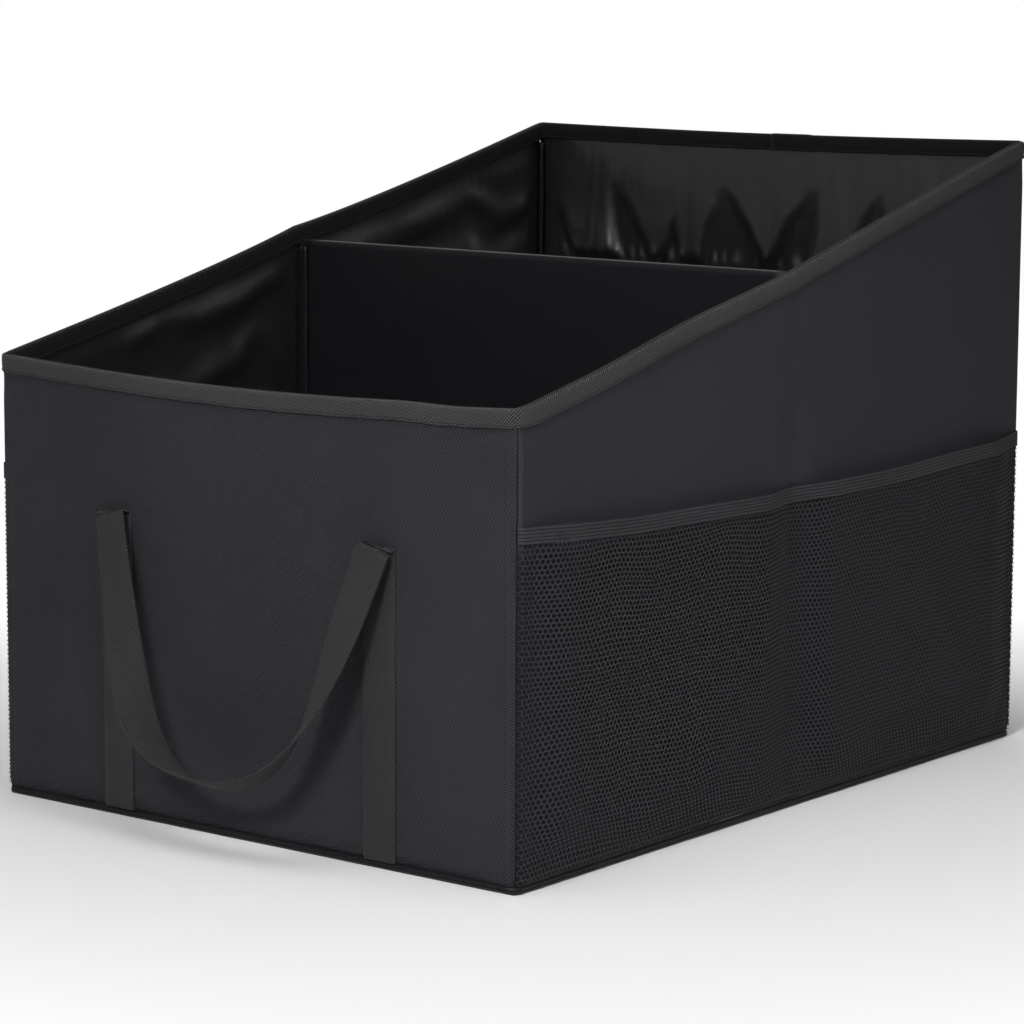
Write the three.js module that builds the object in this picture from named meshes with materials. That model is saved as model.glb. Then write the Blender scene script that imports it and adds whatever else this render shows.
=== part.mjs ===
// A car trunk organizer: an open box of cloth-covered boards with a low front, a high back,
// a divider, a loose floor, net pockets on both sides and a webbing handle on both ends.
// Millimetres, +Z up. The front faces -Y. The origin is the middle of the underside.

import * as THREE from "three";
import { mergeVertices } from "three/addons/utils/BufferGeometryUtils.js";

// The box
const BODY_WIDTH = 430;
const BODY_DEPTH = 578;
const FRONT_HEIGHT = 294;
const BACK_HEIGHT = 427;
const CORNER_RADIUS = 8;
const FRONT_RIM_SAG = 7;
const BACK_RIM_SAG = 2;
const SIDE_RIM_SAG = 4;

// The layers of a wall, from the outside in
const CLOTH_THICKNESS = 1;
const BOARD_THICKNESS = 3;
const LINING_THICKNESS = 0.8;
const LAYER_GAP = 0.3;

// Seams
const SEAM_GAP = 0.4;
const BINDING_THICKNESS = 0.8;
const BINDING_DEPTH = 10.5;
const SEAM_TAPE_DEPTH = 7;
const SEAM_TAPE_THICKNESS = 1.6;
const SEAM_TAPE_SETBACK = 1;

// The boards inside the walls
const BOARD_CORNER_RADIUS = 8;
const BOARD_SIDE_MARGIN = 12;
const BOARD_TOP_MARGIN = 14;
const FOLD_GAP = 12;

// The underside
const WELT_HEIGHT = 4.6;
const WELT_WIDTH = 3.4;
const WELT_LIFT = 0.2;
const BASE_INSET = 4;

// The lining's folds
const LINING_RIPPLE = 3;
const GATHER_DEPTH = 7;
const GATHER_LINE_HEIGHT = 322;
const GATHER_REACH = 70;
const GATHER_FOLDS = 9;
const SIDE_RIPPLES = 5;
const GATHER_LEAN = 0.35;
const RIPPLE_FOOT = 20;
const LINING_FLAT_MARGIN = 14;

// The loose floor
const FLOOR_BOARD_THICKNESS = 3;
const FLOOR_HEM = 40;
const FLOOR_CLEARANCE = 5;
const FLOOR_HINGE_GAP = 8;
const FLOOR_BOARD_CLEARANCE = 1;

// The divider
const DIVIDER_HEIGHT = 353;
const DIVIDER_BOARD_THICKNESS = 2.5;
const DIVIDER_CLEARANCE = 1.2;
const DIVIDER_BOARD_MARGIN = 8;

// The handles
const WEBBING_WIDTH = 25;
const WEBBING_THICKNESS = 1.8;
const HANDLE_SPACING = 220;
const HANDLE_FOLD_HEIGHT = 201;
const HANDLE_FOLD_RADIUS = 3.2;
const HANDLE_LOOP_LOW = 43;
const HANDLE_LOOP_REACH = 37;
const HANDLE_ARM_PULL = 90;
const HANDLE_ARM_LEAN = 28;
const HANDLE_LOOP_PULL = 70;
const HANDLE_TWIST = THREE.MathUtils.degToRad(112);

// The net pockets
const POCKET_HEIGHT = 222;
const POCKET_SAG = 8;
const ELASTIC_WIDTH = 10.5;
const ELASTIC_THICKNESS = 1.4;
const ELASTIC_SPANS = 32;
const NET_THICKNESS = 0.9;
const NET_BELLY = 7.5;
const NET_EDGE = 5;
const NET_RISE = 45;
const NET_FOOT_RISE = 38;
const NET_COLUMNS = 18;
const NET_ROWS = 4;
const NET_STRAND = 6;
const POCKET_EDGE_GAP = 0.4;
const MESH_FLAT_SHARE = 0.5;

// How finely curves and folds are divided
const CORNER_SPANS = 2;
const WALL_SPANS = 10;
const PANEL_ROWS = 3;
const WELT_SIDES = 8;
const FRONT_LINING_SPANS = 12;
const FRONT_LINING_ROWS = 8;
const BACK_LINING_SPANS = 36;
const BACK_LINING_ROWS = 11;
const SIDE_LINING_SPANS = 8;
const SIDE_LINING_ROWS = 9;
const HANDLE_STRIP_SPANS = 4;
const HANDLE_FOLD_SPANS = 6;
const HANDLE_ARM_SPANS = 14;
const TAPE_CURVE_SPANS = 4;
const BOARD_CURVE_SPANS = 3;
const SAME_PLACE = 0.01;

// Colours
const CLOTH_COLOUR = 0x27272b;
const SIDE_CLOTH_COLOUR = 0x2b2b30;
const LINING_COLOUR = 0x1b1b1d;
const TAPE_COLOUR = 0x33332f;
const WEBBING_COLOUR = 0x333331;
const NET_COLOUR = 0x1d1d21;
const BOARD_COLOUR = 0x8a7a60;
const DIVIDER_COLOUR = 0x17171c;

const HALF_WIDTH = BODY_WIDTH / 2;
const HALF_DEPTH = BODY_DEPTH / 2;
const BOARD_DEPTH = CLOTH_THICKNESS + LAYER_GAP;
const LINING_BACK_DEPTH = BOARD_DEPTH + BOARD_THICKNESS + LAYER_GAP;
const WALL_THICKNESS = LINING_BACK_DEPTH + LINING_THICKNESS;
const WALL_BOTTOM = WELT_LIFT + WELT_HEIGHT + LAYER_GAP;
const RIM_DROP = BINDING_THICKNESS + LAYER_GAP;
const LINING_COLLAR = BINDING_DEPTH + RIM_DROP;
const RIM_SLOPE = (BACK_HEIGHT - FRONT_HEIGHT) / BODY_DEPTH;
const CORNER_SEAM_ANGLE = Math.PI / 4 - SEAM_GAP / (2 * CORNER_RADIUS);
const FLOOR_BOTTOM = CLOTH_THICKNESS + LAYER_GAP;
const FLOOR_TOP = FLOOR_BOTTOM + 2 * (LINING_THICKNESS + LAYER_GAP) + FLOOR_BOARD_THICKNESS;

// Materials

function fabric(colour, roughness) {
  return new THREE.MeshStandardMaterial({ color: colour, roughness, metalness: 0 });
}

const clothMaterial = fabric(CLOTH_COLOUR, 0.85);
const sideClothMaterial = fabric(SIDE_CLOTH_COLOUR, 0.85);
const liningMaterial = fabric(LINING_COLOUR, 0.4);
const tapeMaterial = fabric(TAPE_COLOUR, 0.8);
const webbingMaterial = fabric(WEBBING_COLOUR, 0.75);
const netMaterial = fabric(NET_COLOUR, 0.7);
const boardMaterial = fabric(BOARD_COLOUR, 0.9);
const dividerMaterial = fabric(DIVIDER_COLOUR, 0.6);

// Building solids

function vertexNumbers(points) {
  return points.flatMap((point) => [point.x, point.y, point.z]);
}

function signedVolume(points, faces) {
  let volume = 0;
  for (const [a, b, c] of faces) {
    volume += points[a].dot(points[b].clone().cross(points[c])) / 6;
  }
  return volume;
}

function solidFrom(points, faces) {
  const outward = signedVolume(points, faces) > 0 ? faces : faces.map(([a, b, c]) => [a, c, b]);
  const geometry = new THREE.BufferGeometry();
  geometry.setAttribute("position", new THREE.Float32BufferAttribute(vertexNumbers(points), 3));
  geometry.setIndex(outward.flat());
  geometry.computeVertexNormals();
  return geometry;
}

// A solid through a row of rings that all have the same even number of points. The second
// half of a ring runs back beside the first, so an end is closed like a ladder, rung by rung,
// and both halves take the same diagonals, so that a thin sheet keeps its thickness in a fold.
// A closed loft has no ends.
function loft(rings, closed = false) {
  const size = rings[0].length;
  const points = rings.flat();
  const faces = [];
  const spans = closed ? rings.length : rings.length - 1;
  for (let span = 0; span < spans; span += 1) {
    const here = span * size;
    const next = ((span + 1) % rings.length) * size;
    for (let side = 0; side < size; side += 1) {
      const turn = (side + 1) % size;
      const [a, b, c, d] = [here + side, here + turn, next + turn, next + side];
      if (side < size / 2) {
        faces.push([a, b, c], [a, c, d]);
      } else {
        faces.push([a, b, d], [b, c, d]);
      }
    }
  }
  if (!closed) {
    const last = (rings.length - 1) * size;
    for (let rung = 0; rung < size / 2 - 1; rung += 1) {
      const across = size - 1 - rung;
      faces.push([rung + 1, rung, across]);
      faces.push([rung + 1, across, across - 1]);
      faces.push([last + rung, last + rung + 1, last + across - 1]);
      faces.push([last + rung, last + across - 1, last + across]);
    }
  }
  return solidFrom(points, faces);
}

function withoutSeams(geometry) {
  geometry.deleteAttribute("normal");
  geometry.deleteAttribute("uv");
  const merged = mergeVertices(geometry);
  merged.computeVertexNormals();
  return merged;
}

function named(name, geometry, material) {
  const mesh = new THREE.Mesh(geometry, material);
  mesh.name = name;
  return mesh;
}

function mirroredInX(geometry) {
  const mirrored = geometry.clone();
  mirrored.scale(-1, 1, 1);
  const index = mirrored.getIndex();
  for (let corner = 0; corner < index.count; corner += 3) {
    const second = index.getX(corner + 1);
    index.setX(corner + 1, index.getX(corner + 2));
    index.setX(corner + 2, second);
  }
  mirrored.computeVertexNormals();
  return mirrored;
}

function evenly(from, to, spans) {
  return Array.from({ length: spans + 1 }, (_, step) => from + ((to - from) * step) / spans);
}

// The rim's height over any point of the plan

function rimHeight(x, y) {
  const along = THREE.MathUtils.clamp(y / BODY_DEPTH + 0.5, 0, 1);
  const straight = THREE.MathUtils.lerp(FRONT_HEIGHT, BACK_HEIGHT, along);
  const endSag = THREE.MathUtils.lerp(FRONT_RIM_SAG, BACK_RIM_SAG, along);
  const across = THREE.MathUtils.clamp(x / BODY_WIDTH, -0.5, 0.5);
  return straight - endSag * Math.cos(Math.PI * across) - SIDE_RIM_SAG * Math.sin(Math.PI * along);
}

// Places along the plan, each with the direction that points out of the box there

function stationsAlongX(y, outward, from, to, spans) {
  const normal = new THREE.Vector2(0, outward);
  return evenly(from, to, spans).map((x) => ({ at: new THREE.Vector2(x, y), normal }));
}

function stationsAlongY(x, outward, from, to, spans) {
  const normal = new THREE.Vector2(outward, 0);
  return evenly(from, to, spans).map((y) => ({ at: new THREE.Vector2(x, y), normal }));
}

function stationsRoundCorner(signX, signY, fromAngle, toAngle, spans) {
  const centre = new THREE.Vector2(
    signX * (HALF_WIDTH - CORNER_RADIUS),
    signY * (HALF_DEPTH - CORNER_RADIUS),
  );
  return evenly(fromAngle, toAngle, spans).map((angle) => {
    const normal = new THREE.Vector2(Math.cos(angle), Math.sin(angle));
    return { at: centre.clone().addScaledVector(normal, CORNER_RADIUS), normal };
  });
}

function cleaned(stations) {
  return stations.filter((station, place) => {
    return place === 0 || station.at.distanceTo(stations[place - 1].at) > SAME_PLACE;
  });
}

// An end wall's cloth and a side wall's meet in the middle of each rounded corner
function endWallStations() {
  const straight = HALF_WIDTH - CORNER_RADIUS;
  const front = -Math.PI / 2;
  return cleaned([
    ...stationsRoundCorner(-1, -1, front - CORNER_SEAM_ANGLE, front, CORNER_SPANS),
    ...stationsAlongX(-HALF_DEPTH, -1, -straight, straight, WALL_SPANS),
    ...stationsRoundCorner(1, -1, front, front + CORNER_SEAM_ANGLE, CORNER_SPANS),
  ]);
}

function sideWallStations() {
  const straight = HALF_DEPTH - CORNER_RADIUS;
  return cleaned([
    ...stationsRoundCorner(1, -1, -CORNER_SEAM_ANGLE, 0, CORNER_SPANS),
    ...stationsAlongY(HALF_WIDTH, 1, -straight, straight, WALL_SPANS),
    ...stationsRoundCorner(1, 1, 0, CORNER_SEAM_ANGLE, CORNER_SPANS),
  ]);
}

// Right round the box: a closed path, so its last place isn't its first again
function wholeRimStations(straightSpans) {
  const straightX = HALF_WIDTH - CORNER_RADIUS;
  const straightY = HALF_DEPTH - CORNER_RADIUS;
  const turn = Math.PI / 2;
  const spans = 2 * CORNER_SPANS;
  const stations = cleaned([
    ...stationsAlongX(-HALF_DEPTH, -1, -straightX, straightX, straightSpans),
    ...stationsRoundCorner(1, -1, -turn, 0, spans),
    ...stationsAlongY(HALF_WIDTH, 1, -straightY, straightY, straightSpans),
    ...stationsRoundCorner(1, 1, 0, turn, spans),
    ...stationsAlongX(HALF_DEPTH, 1, straightX, -straightX, straightSpans),
    ...stationsRoundCorner(-1, 1, turn, 2 * turn, spans),
    ...stationsAlongY(-HALF_WIDTH, -1, straightY, -straightY, straightSpans),
    ...stationsRoundCorner(-1, -1, 2 * turn, 3 * turn, spans),
  ]);
  return stations.slice(0, -1);
}

// A standing sheet: its plan follows the stations, its foot is level and its top follows the
// rim. The inner face is set in by the thickness, and both may be pushed in by a fold. A
// collar of the sheet stays flat along the top, where the rim's tape holds it.
function standingSheet(stations, options) {
  const { depth, thickness, bottom, topDrop, rows, collar = 0 } = options;
  const { push = () => 0, mirrorY = false } = options;
  const side = mirrorY ? -1 : 1;
  const heights = evenly(0, 1, rows).map((share) => {
    return (top) => bottom + (top - collar - bottom) * share;
  });
  if (collar > 0) {
    heights.push((top) => top);
  }
  const planAt = (station, inset) => station.at.clone().addScaledVector(station.normal, -inset);
  const rings = heights.map((heightUnder) => {
    const outer = [];
    const inner = [];
    stations.forEach((station, place) => {
      const top = rimHeight(station.at.x, station.at.y * side) - topDrop;
      const z = heightUnder(top);
      const along = place / (stations.length - 1);
      const fold = push(along, z, top);
      const outside = planAt(station, depth + fold);
      const inside = planAt(station, depth + thickness + fold);
      outer.push(new THREE.Vector3(outside.x, outside.y * side, z));
      inner.unshift(new THREE.Vector3(inside.x, inside.y * side, z));
    });
    return [...outer, ...inner];
  });
  return loft(rings);
}

// The outer cloth

function panelOptions(mirrorY) {
  return {
    depth: 0,
    thickness: CLOTH_THICKNESS,
    bottom: WALL_BOTTOM,
    topDrop: RIM_DROP,
    rows: PANEL_ROWS,
    mirrorY,
  };
}

function endPanel(name, mirrorY) {
  return named(name, standingSheet(endWallStations(), panelOptions(mirrorY)), clothMaterial);
}

function sidePanelGeometry() {
  return standingSheet(sideWallStations(), panelOptions(false));
}

function roundedRectangle(width, depth, radius) {
  const shape = new THREE.Shape();
  const x = width / 2 - radius;
  const y = depth / 2 - radius;
  shape.absarc(x, y, radius, 0, Math.PI / 2);
  shape.absarc(-x, y, radius, Math.PI / 2, Math.PI);
  shape.absarc(-x, -y, radius, Math.PI, 1.5 * Math.PI);
  shape.absarc(x, -y, radius, 1.5 * Math.PI, 2 * Math.PI);
  shape.closePath();
  return shape;
}

function basePanel() {
  const shape = roundedRectangle(
    BODY_WIDTH - 2 * BASE_INSET,
    BODY_DEPTH - 2 * BASE_INSET,
    CORNER_RADIUS - BASE_INSET / 2,
  );
  const options = {
    depth: CLOTH_THICKNESS,
    bevelEnabled: false,
    curveSegments: TAPE_CURVE_SPANS,
  };
  return named("base_panel", withoutSeams(new THREE.ExtrudeGeometry(shape, options)), clothMaterial);
}

// A round-cornered welt that runs round the foot of the walls
function baseWelt() {
  const rings = wholeRimStations(1).map((station) => {
    return Array.from({ length: WELT_SIDES }, (_, step) => {
      const angle = (2 * Math.PI * (step + 0.5)) / WELT_SIDES;
      const inset = WELT_WIDTH / 2 - (WELT_WIDTH / 2) * Math.cos(angle);
      const plan = station.at.clone().addScaledVector(station.normal, -inset);
      const z = WELT_LIFT + (WELT_HEIGHT / 2) * (1 + Math.sin(angle));
      return new THREE.Vector3(plan.x, plan.y, z);
    });
  });
  return named("base_welt", loft(rings, true), tapeMaterial);
}

// The boards

function boardOutline(corners) {
  const shape = new THREE.Shape();
  corners.forEach((corner, place) => {
    const before = corners[(place + corners.length - 1) % corners.length];
    const after = corners[(place + 1) % corners.length];
    const inward = before.clone().sub(corner).setLength(BOARD_CORNER_RADIUS).add(corner);
    const outward = after.clone().sub(corner).setLength(BOARD_CORNER_RADIUS).add(corner);
    if (place === 0) {
      shape.moveTo(inward.x, inward.y);
    } else {
      shape.lineTo(inward.x, inward.y);
    }
    shape.quadraticCurveTo(corner.x, corner.y, outward.x, outward.y);
  });
  shape.closePath();
  return shape;
}

function boardGeometry(corners, thickness) {
  const options = {
    depth: thickness,
    bevelEnabled: false,
    curveSegments: BOARD_CURVE_SPANS,
  };
  return withoutSeams(new THREE.ExtrudeGeometry(boardOutline(corners), options));
}

function endBoard(name, height, signY) {
  const reach = HALF_WIDTH - BOARD_SIDE_MARGIN;
  const top = height - BOARD_TOP_MARGIN;
  const corners = [
    new THREE.Vector2(-reach, WALL_BOTTOM),
    new THREE.Vector2(reach, WALL_BOTTOM),
    new THREE.Vector2(reach, top),
    new THREE.Vector2(-reach, top),
  ];
  const mesh = named(name, boardGeometry(corners, BOARD_THICKNESS), boardMaterial);
  mesh.rotation.x = Math.PI / 2;
  const outerFace = HALF_DEPTH - BOARD_DEPTH;
  mesh.position.y = signY > 0 ? outerFace : -outerFace + BOARD_THICKNESS;
  return mesh;
}

function sideBoard(name, signX, fromY, toY) {
  const topAt = (y) => THREE.MathUtils.lerp(FRONT_HEIGHT, BACK_HEIGHT, y / BODY_DEPTH + 0.5)
    - SIDE_RIM_SAG - BOARD_TOP_MARGIN;
  const corners = [
    new THREE.Vector2(fromY, WALL_BOTTOM),
    new THREE.Vector2(toY, WALL_BOTTOM),
    new THREE.Vector2(toY, topAt(toY)),
    new THREE.Vector2(fromY, topAt(fromY)),
  ];
  const mesh = named(name, boardGeometry(corners, BOARD_THICKNESS), boardMaterial);
  mesh.rotation.set(Math.PI / 2, Math.PI / 2, 0);
  const outerFace = HALF_WIDTH - BOARD_DEPTH;
  mesh.position.x = signX > 0 ? outerFace - BOARD_THICKNESS : -outerFace;
  return mesh;
}

// The lining's folds: none near the seams, so that the tape there has room

function seamFade(distance) {
  return THREE.MathUtils.smoothstep(distance, LINING_FLAT_MARGIN / 2, LINING_FLAT_MARGIN * 2);
}

function gatherFold(length) {
  return (along, z, top) => {
    const fade = seamFade(Math.min(along, 1 - along) * length);
    const fromLine = Math.abs(z - GATHER_LINE_HEIGHT) / GATHER_REACH;
    const closeness = Math.exp(-fromLine * fromLine);
    const lean = (GATHER_LEAN * (z - GATHER_LINE_HEIGHT)) / GATHER_REACH;
    const wave = 0.5 + 0.5 * Math.cos(2 * Math.PI * (GATHER_FOLDS * along + lean));
    const rimFade = THREE.MathUtils.smoothstep(top - z, LINING_COLLAR, 3 * LINING_COLLAR);
    return GATHER_DEPTH * fade * rimFade * closeness * wave;
  };
}

function rippleFold(length, phase) {
  return (along, z, top) => {
    const fade = seamFade(Math.min(along, 1 - along) * length);
    const rimFade = THREE.MathUtils.smoothstep(top - z, LINING_COLLAR, 3 * LINING_COLLAR);
    const footFade = THREE.MathUtils.smoothstep(z, FLOOR_TOP, FLOOR_TOP + RIPPLE_FOOT);
    const height = (z - FLOOR_TOP) / (top - FLOOR_TOP);
    const wave = 0.5 + 0.5 * Math.sin(2 * Math.PI * (SIDE_RIPPLES * height + along + phase));
    return LINING_RIPPLE * fade * rimFade * footFade * wave;
  };
}

function liningOptions(rows, push, mirrorY = false) {
  return {
    depth: LINING_BACK_DEPTH,
    thickness: LINING_THICKNESS,
    bottom: FLOOR_BOTTOM,
    topDrop: RIM_DROP,
    rows,
    collar: LINING_COLLAR,
    push,
    mirrorY,
  };
}

function endLiningStations(spans) {
  const reach = HALF_WIDTH - CORNER_RADIUS;
  return stationsAlongX(-HALF_DEPTH, -1, -reach, reach, spans);
}

function frontLining() {
  const fold = rippleFold(BODY_WIDTH - 2 * CORNER_RADIUS, 0);
  const stations = endLiningStations(FRONT_LINING_SPANS);
  const geometry = standingSheet(stations, liningOptions(FRONT_LINING_ROWS, fold));
  return named("front_lining", geometry, liningMaterial);
}

function backLining() {
  const fold = gatherFold(BODY_WIDTH - 2 * CORNER_RADIUS);
  const stations = endLiningStations(BACK_LINING_SPANS);
  const geometry = standingSheet(stations, liningOptions(BACK_LINING_ROWS, fold, true));
  return named("back_lining", geometry, liningMaterial);
}

function sideLiningGeometry(fromY, toY, phase) {
  const stations = stationsAlongY(HALF_WIDTH, 1, fromY, toY, SIDE_LINING_SPANS);
  const fold = rippleFold(toY - fromY, phase);
  return standingSheet(stations, liningOptions(SIDE_LINING_ROWS, fold));
}

// The rim's folded tape. Its far end laps over its near end on the back wall.

function bindingSection() {
  const outer = LAYER_GAP + BINDING_THICKNESS;
  const inner = -WALL_THICKNESS - LAYER_GAP - BINDING_THICKNESS;
  const foot = -RIM_DROP - BINDING_DEPTH;
  return [
    new THREE.Vector2(outer, foot),
    new THREE.Vector2(outer, 0),
    new THREE.Vector2(inner, 0),
    new THREE.Vector2(inner, foot),
    new THREE.Vector2(inner + BINDING_THICKNESS, foot),
    new THREE.Vector2(inner + BINDING_THICKNESS, -BINDING_THICKNESS),
    new THREE.Vector2(outer - BINDING_THICKNESS, -BINDING_THICKNESS),
    new THREE.Vector2(outer - BINDING_THICKNESS, foot),
  ];
}

function rimBinding() {
  const section = bindingSection();
  const rings = wholeRimStations(WALL_SPANS).map((station) => {
    const height = rimHeight(station.at.x, station.at.y);
    return section.map((corner) => {
      const plan = station.at.clone().addScaledVector(station.normal, corner.x);
      return new THREE.Vector3(plan.x, plan.y, height + corner.y);
    });
  });
  return named("rim_binding", loft(rings, true), tapeMaterial);
}

// Tape folded over the seam allowances that stand into the box

function seamTapeShape() {
  const half = SEAM_TAPE_THICKNESS / 2;
  const shape = new THREE.Shape();
  shape.moveTo(0, -half);
  shape.lineTo(SEAM_TAPE_DEPTH - half, -half);
  shape.absarc(SEAM_TAPE_DEPTH - half, 0, half, -Math.PI / 2, Math.PI / 2);
  shape.lineTo(0, half);
  shape.closePath();
  return shape;
}

function seamTape(name, x, y, angle) {
  const collar = RIM_DROP + BINDING_DEPTH + SEAM_TAPE_SETBACK;
  const top = rimHeight(x, y) - collar - RIM_SLOPE * SEAM_TAPE_DEPTH;
  const bottom = FLOOR_TOP + LAYER_GAP;
  const options = {
    depth: top - bottom,
    bevelEnabled: false,
    curveSegments: TAPE_CURVE_SPANS,
  };
  const geometry = withoutSeams(new THREE.ExtrudeGeometry(seamTapeShape(), options));
  const mesh = named(name, geometry, tapeMaterial);
  mesh.position.set(x, y, bottom);
  mesh.rotation.z = angle;
  return mesh;
}

function cornerTape(name, signX, signY) {
  const inset = WALL_THICKNESS + SEAM_TAPE_SETBACK;
  const angle = Math.atan2(-signY, -signX);
  return seamTape(name, signX * (HALF_WIDTH - inset), signY * (HALF_DEPTH - inset), angle);
}

function foldTape(name, signX) {
  const angle = signX > 0 ? Math.PI : 0;
  return seamTape(name, signX * (HALF_WIDTH - WALL_THICKNESS - LAYER_GAP), 0, angle);
}

// The loose floor: two boards in one folded cover

function extrudedAcross(outline, width) {
  const options = { depth: width, bevelEnabled: false };
  const geometry = withoutSeams(new THREE.ExtrudeGeometry(new THREE.Shape(outline), options));
  geometry.rotateX(Math.PI / 2);
  geometry.rotateZ(Math.PI / 2);
  geometry.translate(-width / 2, 0, 0);
  return geometry;
}

function floorHalfDepth() {
  return HALF_DEPTH - WALL_THICKNESS - FLOOR_CLEARANCE;
}

function floorWidth() {
  return BODY_WIDTH - 2 * (WALL_THICKNESS + FLOOR_CLEARANCE);
}

function floorCover() {
  const far = floorHalfDepth();
  const near = far - LINING_THICKNESS;
  const low = FLOOR_BOTTOM;
  const hemTop = low + LINING_THICKNESS;
  const top = FLOOR_TOP;
  const under = top - LINING_THICKNESS;
  const hem = far - FLOOR_HEM;
  const right = [
    [hem, low],
    [far, low],
    [far, top],
  ];
  const left = [
    [-far, top],
    [-far, low],
    [-hem, low],
    [-hem, hemTop],
    [-near, hemTop],
    [-near, under],
  ];
  const inside = [
    [near, under],
    [near, hemTop],
    [hem, hemTop],
  ];
  const outline = [...right, ...left, ...inside].map(([y, z]) => new THREE.Vector2(y, z));
  return named("floor_cover", extrudedAcross(outline, floorWidth()), liningMaterial);
}

function floorBoard(name, signY) {
  const far = floorHalfDepth() - LINING_THICKNESS - FLOOR_BOARD_CLEARANCE;
  const depth = far - FLOOR_HINGE_GAP / 2;
  const width = floorWidth() - 2 * FLOOR_BOARD_CLEARANCE;
  const shape = roundedRectangle(width, depth, BOARD_CORNER_RADIUS);
  const options = {
    depth: FLOOR_BOARD_THICKNESS,
    bevelEnabled: false,
    curveSegments: BOARD_CURVE_SPANS,
  };
  const mesh = named(name, withoutSeams(new THREE.ExtrudeGeometry(shape, options)), boardMaterial);
  const y = signY * (FLOOR_HINGE_GAP / 2 + depth / 2);
  mesh.position.set(0, y, FLOOR_BOTTOM + LINING_THICKNESS + LAYER_GAP);
  return mesh;
}

// The divider: a board in a cover folded over its top edge, standing behind the side seams

const DIVIDER_FRONT = SEAM_TAPE_THICKNESS / 2 + LAYER_GAP;
const DIVIDER_THICKNESS = DIVIDER_BOARD_THICKNESS + 2 * (LAYER_GAP + LINING_THICKNESS);
const DIVIDER_FOOT = FLOOR_TOP + LAYER_GAP;

function dividerCover() {
  const front = DIVIDER_FRONT;
  const back = front + DIVIDER_THICKNESS;
  const skin = LINING_THICKNESS;
  const outline = [
    [front, DIVIDER_FOOT],
    [front + skin, DIVIDER_FOOT],
    [front + skin, DIVIDER_HEIGHT - skin],
    [back - skin, DIVIDER_HEIGHT - skin],
    [back - skin, DIVIDER_FOOT],
    [back, DIVIDER_FOOT],
    [back, DIVIDER_HEIGHT],
    [front, DIVIDER_HEIGHT],
  ].map(([y, z]) => new THREE.Vector2(y, z));
  const width = BODY_WIDTH - 2 * (WALL_THICKNESS + DIVIDER_CLEARANCE);
  return named("divider_cover", extrudedAcross(outline, width), dividerMaterial);
}

function dividerBoard() {
  const reach = HALF_WIDTH - WALL_THICKNESS - DIVIDER_CLEARANCE - DIVIDER_BOARD_MARGIN;
  const top = DIVIDER_HEIGHT - LINING_THICKNESS - LAYER_GAP;
  const corners = [
    new THREE.Vector2(-reach, DIVIDER_FOOT),
    new THREE.Vector2(reach, DIVIDER_FOOT),
    new THREE.Vector2(reach, top),
    new THREE.Vector2(-reach, top),
  ];
  const geometry = boardGeometry(corners, DIVIDER_BOARD_THICKNESS);
  const mesh = named("divider_board", geometry, boardMaterial);
  mesh.rotation.x = Math.PI / 2;
  mesh.position.y = DIVIDER_FRONT + LINING_THICKNESS + LAYER_GAP + DIVIDER_BOARD_THICKNESS;
  return mesh;
}

// The handles: one webbing goes up the wall, folds over, hangs as a loop that turns on its
// edge, folds again and goes down the wall

function handleStrip() {
  const x = -HANDLE_SPACING / 2;
  const y = -HALF_DEPTH - LAYER_GAP - WEBBING_THICKNESS / 2;
  const top = HANDLE_FOLD_HEIGHT - HANDLE_FOLD_RADIUS;
  const out = new THREE.Vector3(0, -1, 0);
  const strip = evenly(WALL_BOTTOM, top, HANDLE_STRIP_SPANS).slice(0, -1).map((z) => {
    return { at: new THREE.Vector3(x, y, z), face: out, along: new THREE.Vector3(0, 0, 1) };
  });
  const fold = evenly(0, Math.PI, HANDLE_FOLD_SPANS).map((angle) => ({
    at: new THREE.Vector3(
      x,
      y - HANDLE_FOLD_RADIUS * (1 - Math.cos(angle)),
      top + HANDLE_FOLD_RADIUS * Math.sin(angle),
    ),
    face: new THREE.Vector3(0, -Math.cos(angle), Math.sin(angle)),
    along: new THREE.Vector3(0, -Math.sin(angle), Math.cos(angle)),
  }));
  return [...strip, ...fold];
}

function handleArm(spans) {
  const start = new THREE.Vector2(-HANDLE_SPACING / 2, HANDLE_FOLD_HEIGHT - HANDLE_FOLD_RADIUS);
  const low = new THREE.Vector2(0, HANDLE_LOOP_LOW);
  const curve = new THREE.CubicBezierCurve(
    start,
    start.clone().add(new THREE.Vector2(HANDLE_ARM_LEAN, -HANDLE_ARM_PULL)),
    low.clone().add(new THREE.Vector2(-HANDLE_LOOP_PULL, 0)),
    low,
  );
  const foldY = HALF_DEPTH + LAYER_GAP + WEBBING_THICKNESS / 2 + 2 * HANDLE_FOLD_RADIUS;
  const lowY = HALF_DEPTH + HANDLE_LOOP_REACH;
  return evenly(0, 1, spans).slice(1).map((share) => {
    const flat = curve.getPoint(share);
    const slope = curve.getTangent(share);
    const forward = THREE.MathUtils.lerp(foldY, lowY, Math.sin((Math.PI / 2) * share));
    const turn = HANDLE_TWIST * THREE.MathUtils.smoothstep(share, 0, 1);
    const inward = new THREE.Vector3(-slope.y, 0, slope.x);
    const out = new THREE.Vector3(0, -1, 0);
    const face = out.multiplyScalar(Math.cos(turn)).addScaledVector(inward, Math.sin(turn));
    return {
      at: new THREE.Vector3(flat.x, -forward, flat.y),
      face: face.negate(),
      along: new THREE.Vector3(slope.x, 0, slope.y),
    };
  });
}

function mirroredStation(station) {
  const flip = (vector) => new THREE.Vector3(-vector.x, vector.y, vector.z);
  return { at: flip(station.at), face: flip(station.face), along: flip(station.along).negate() };
}

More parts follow.
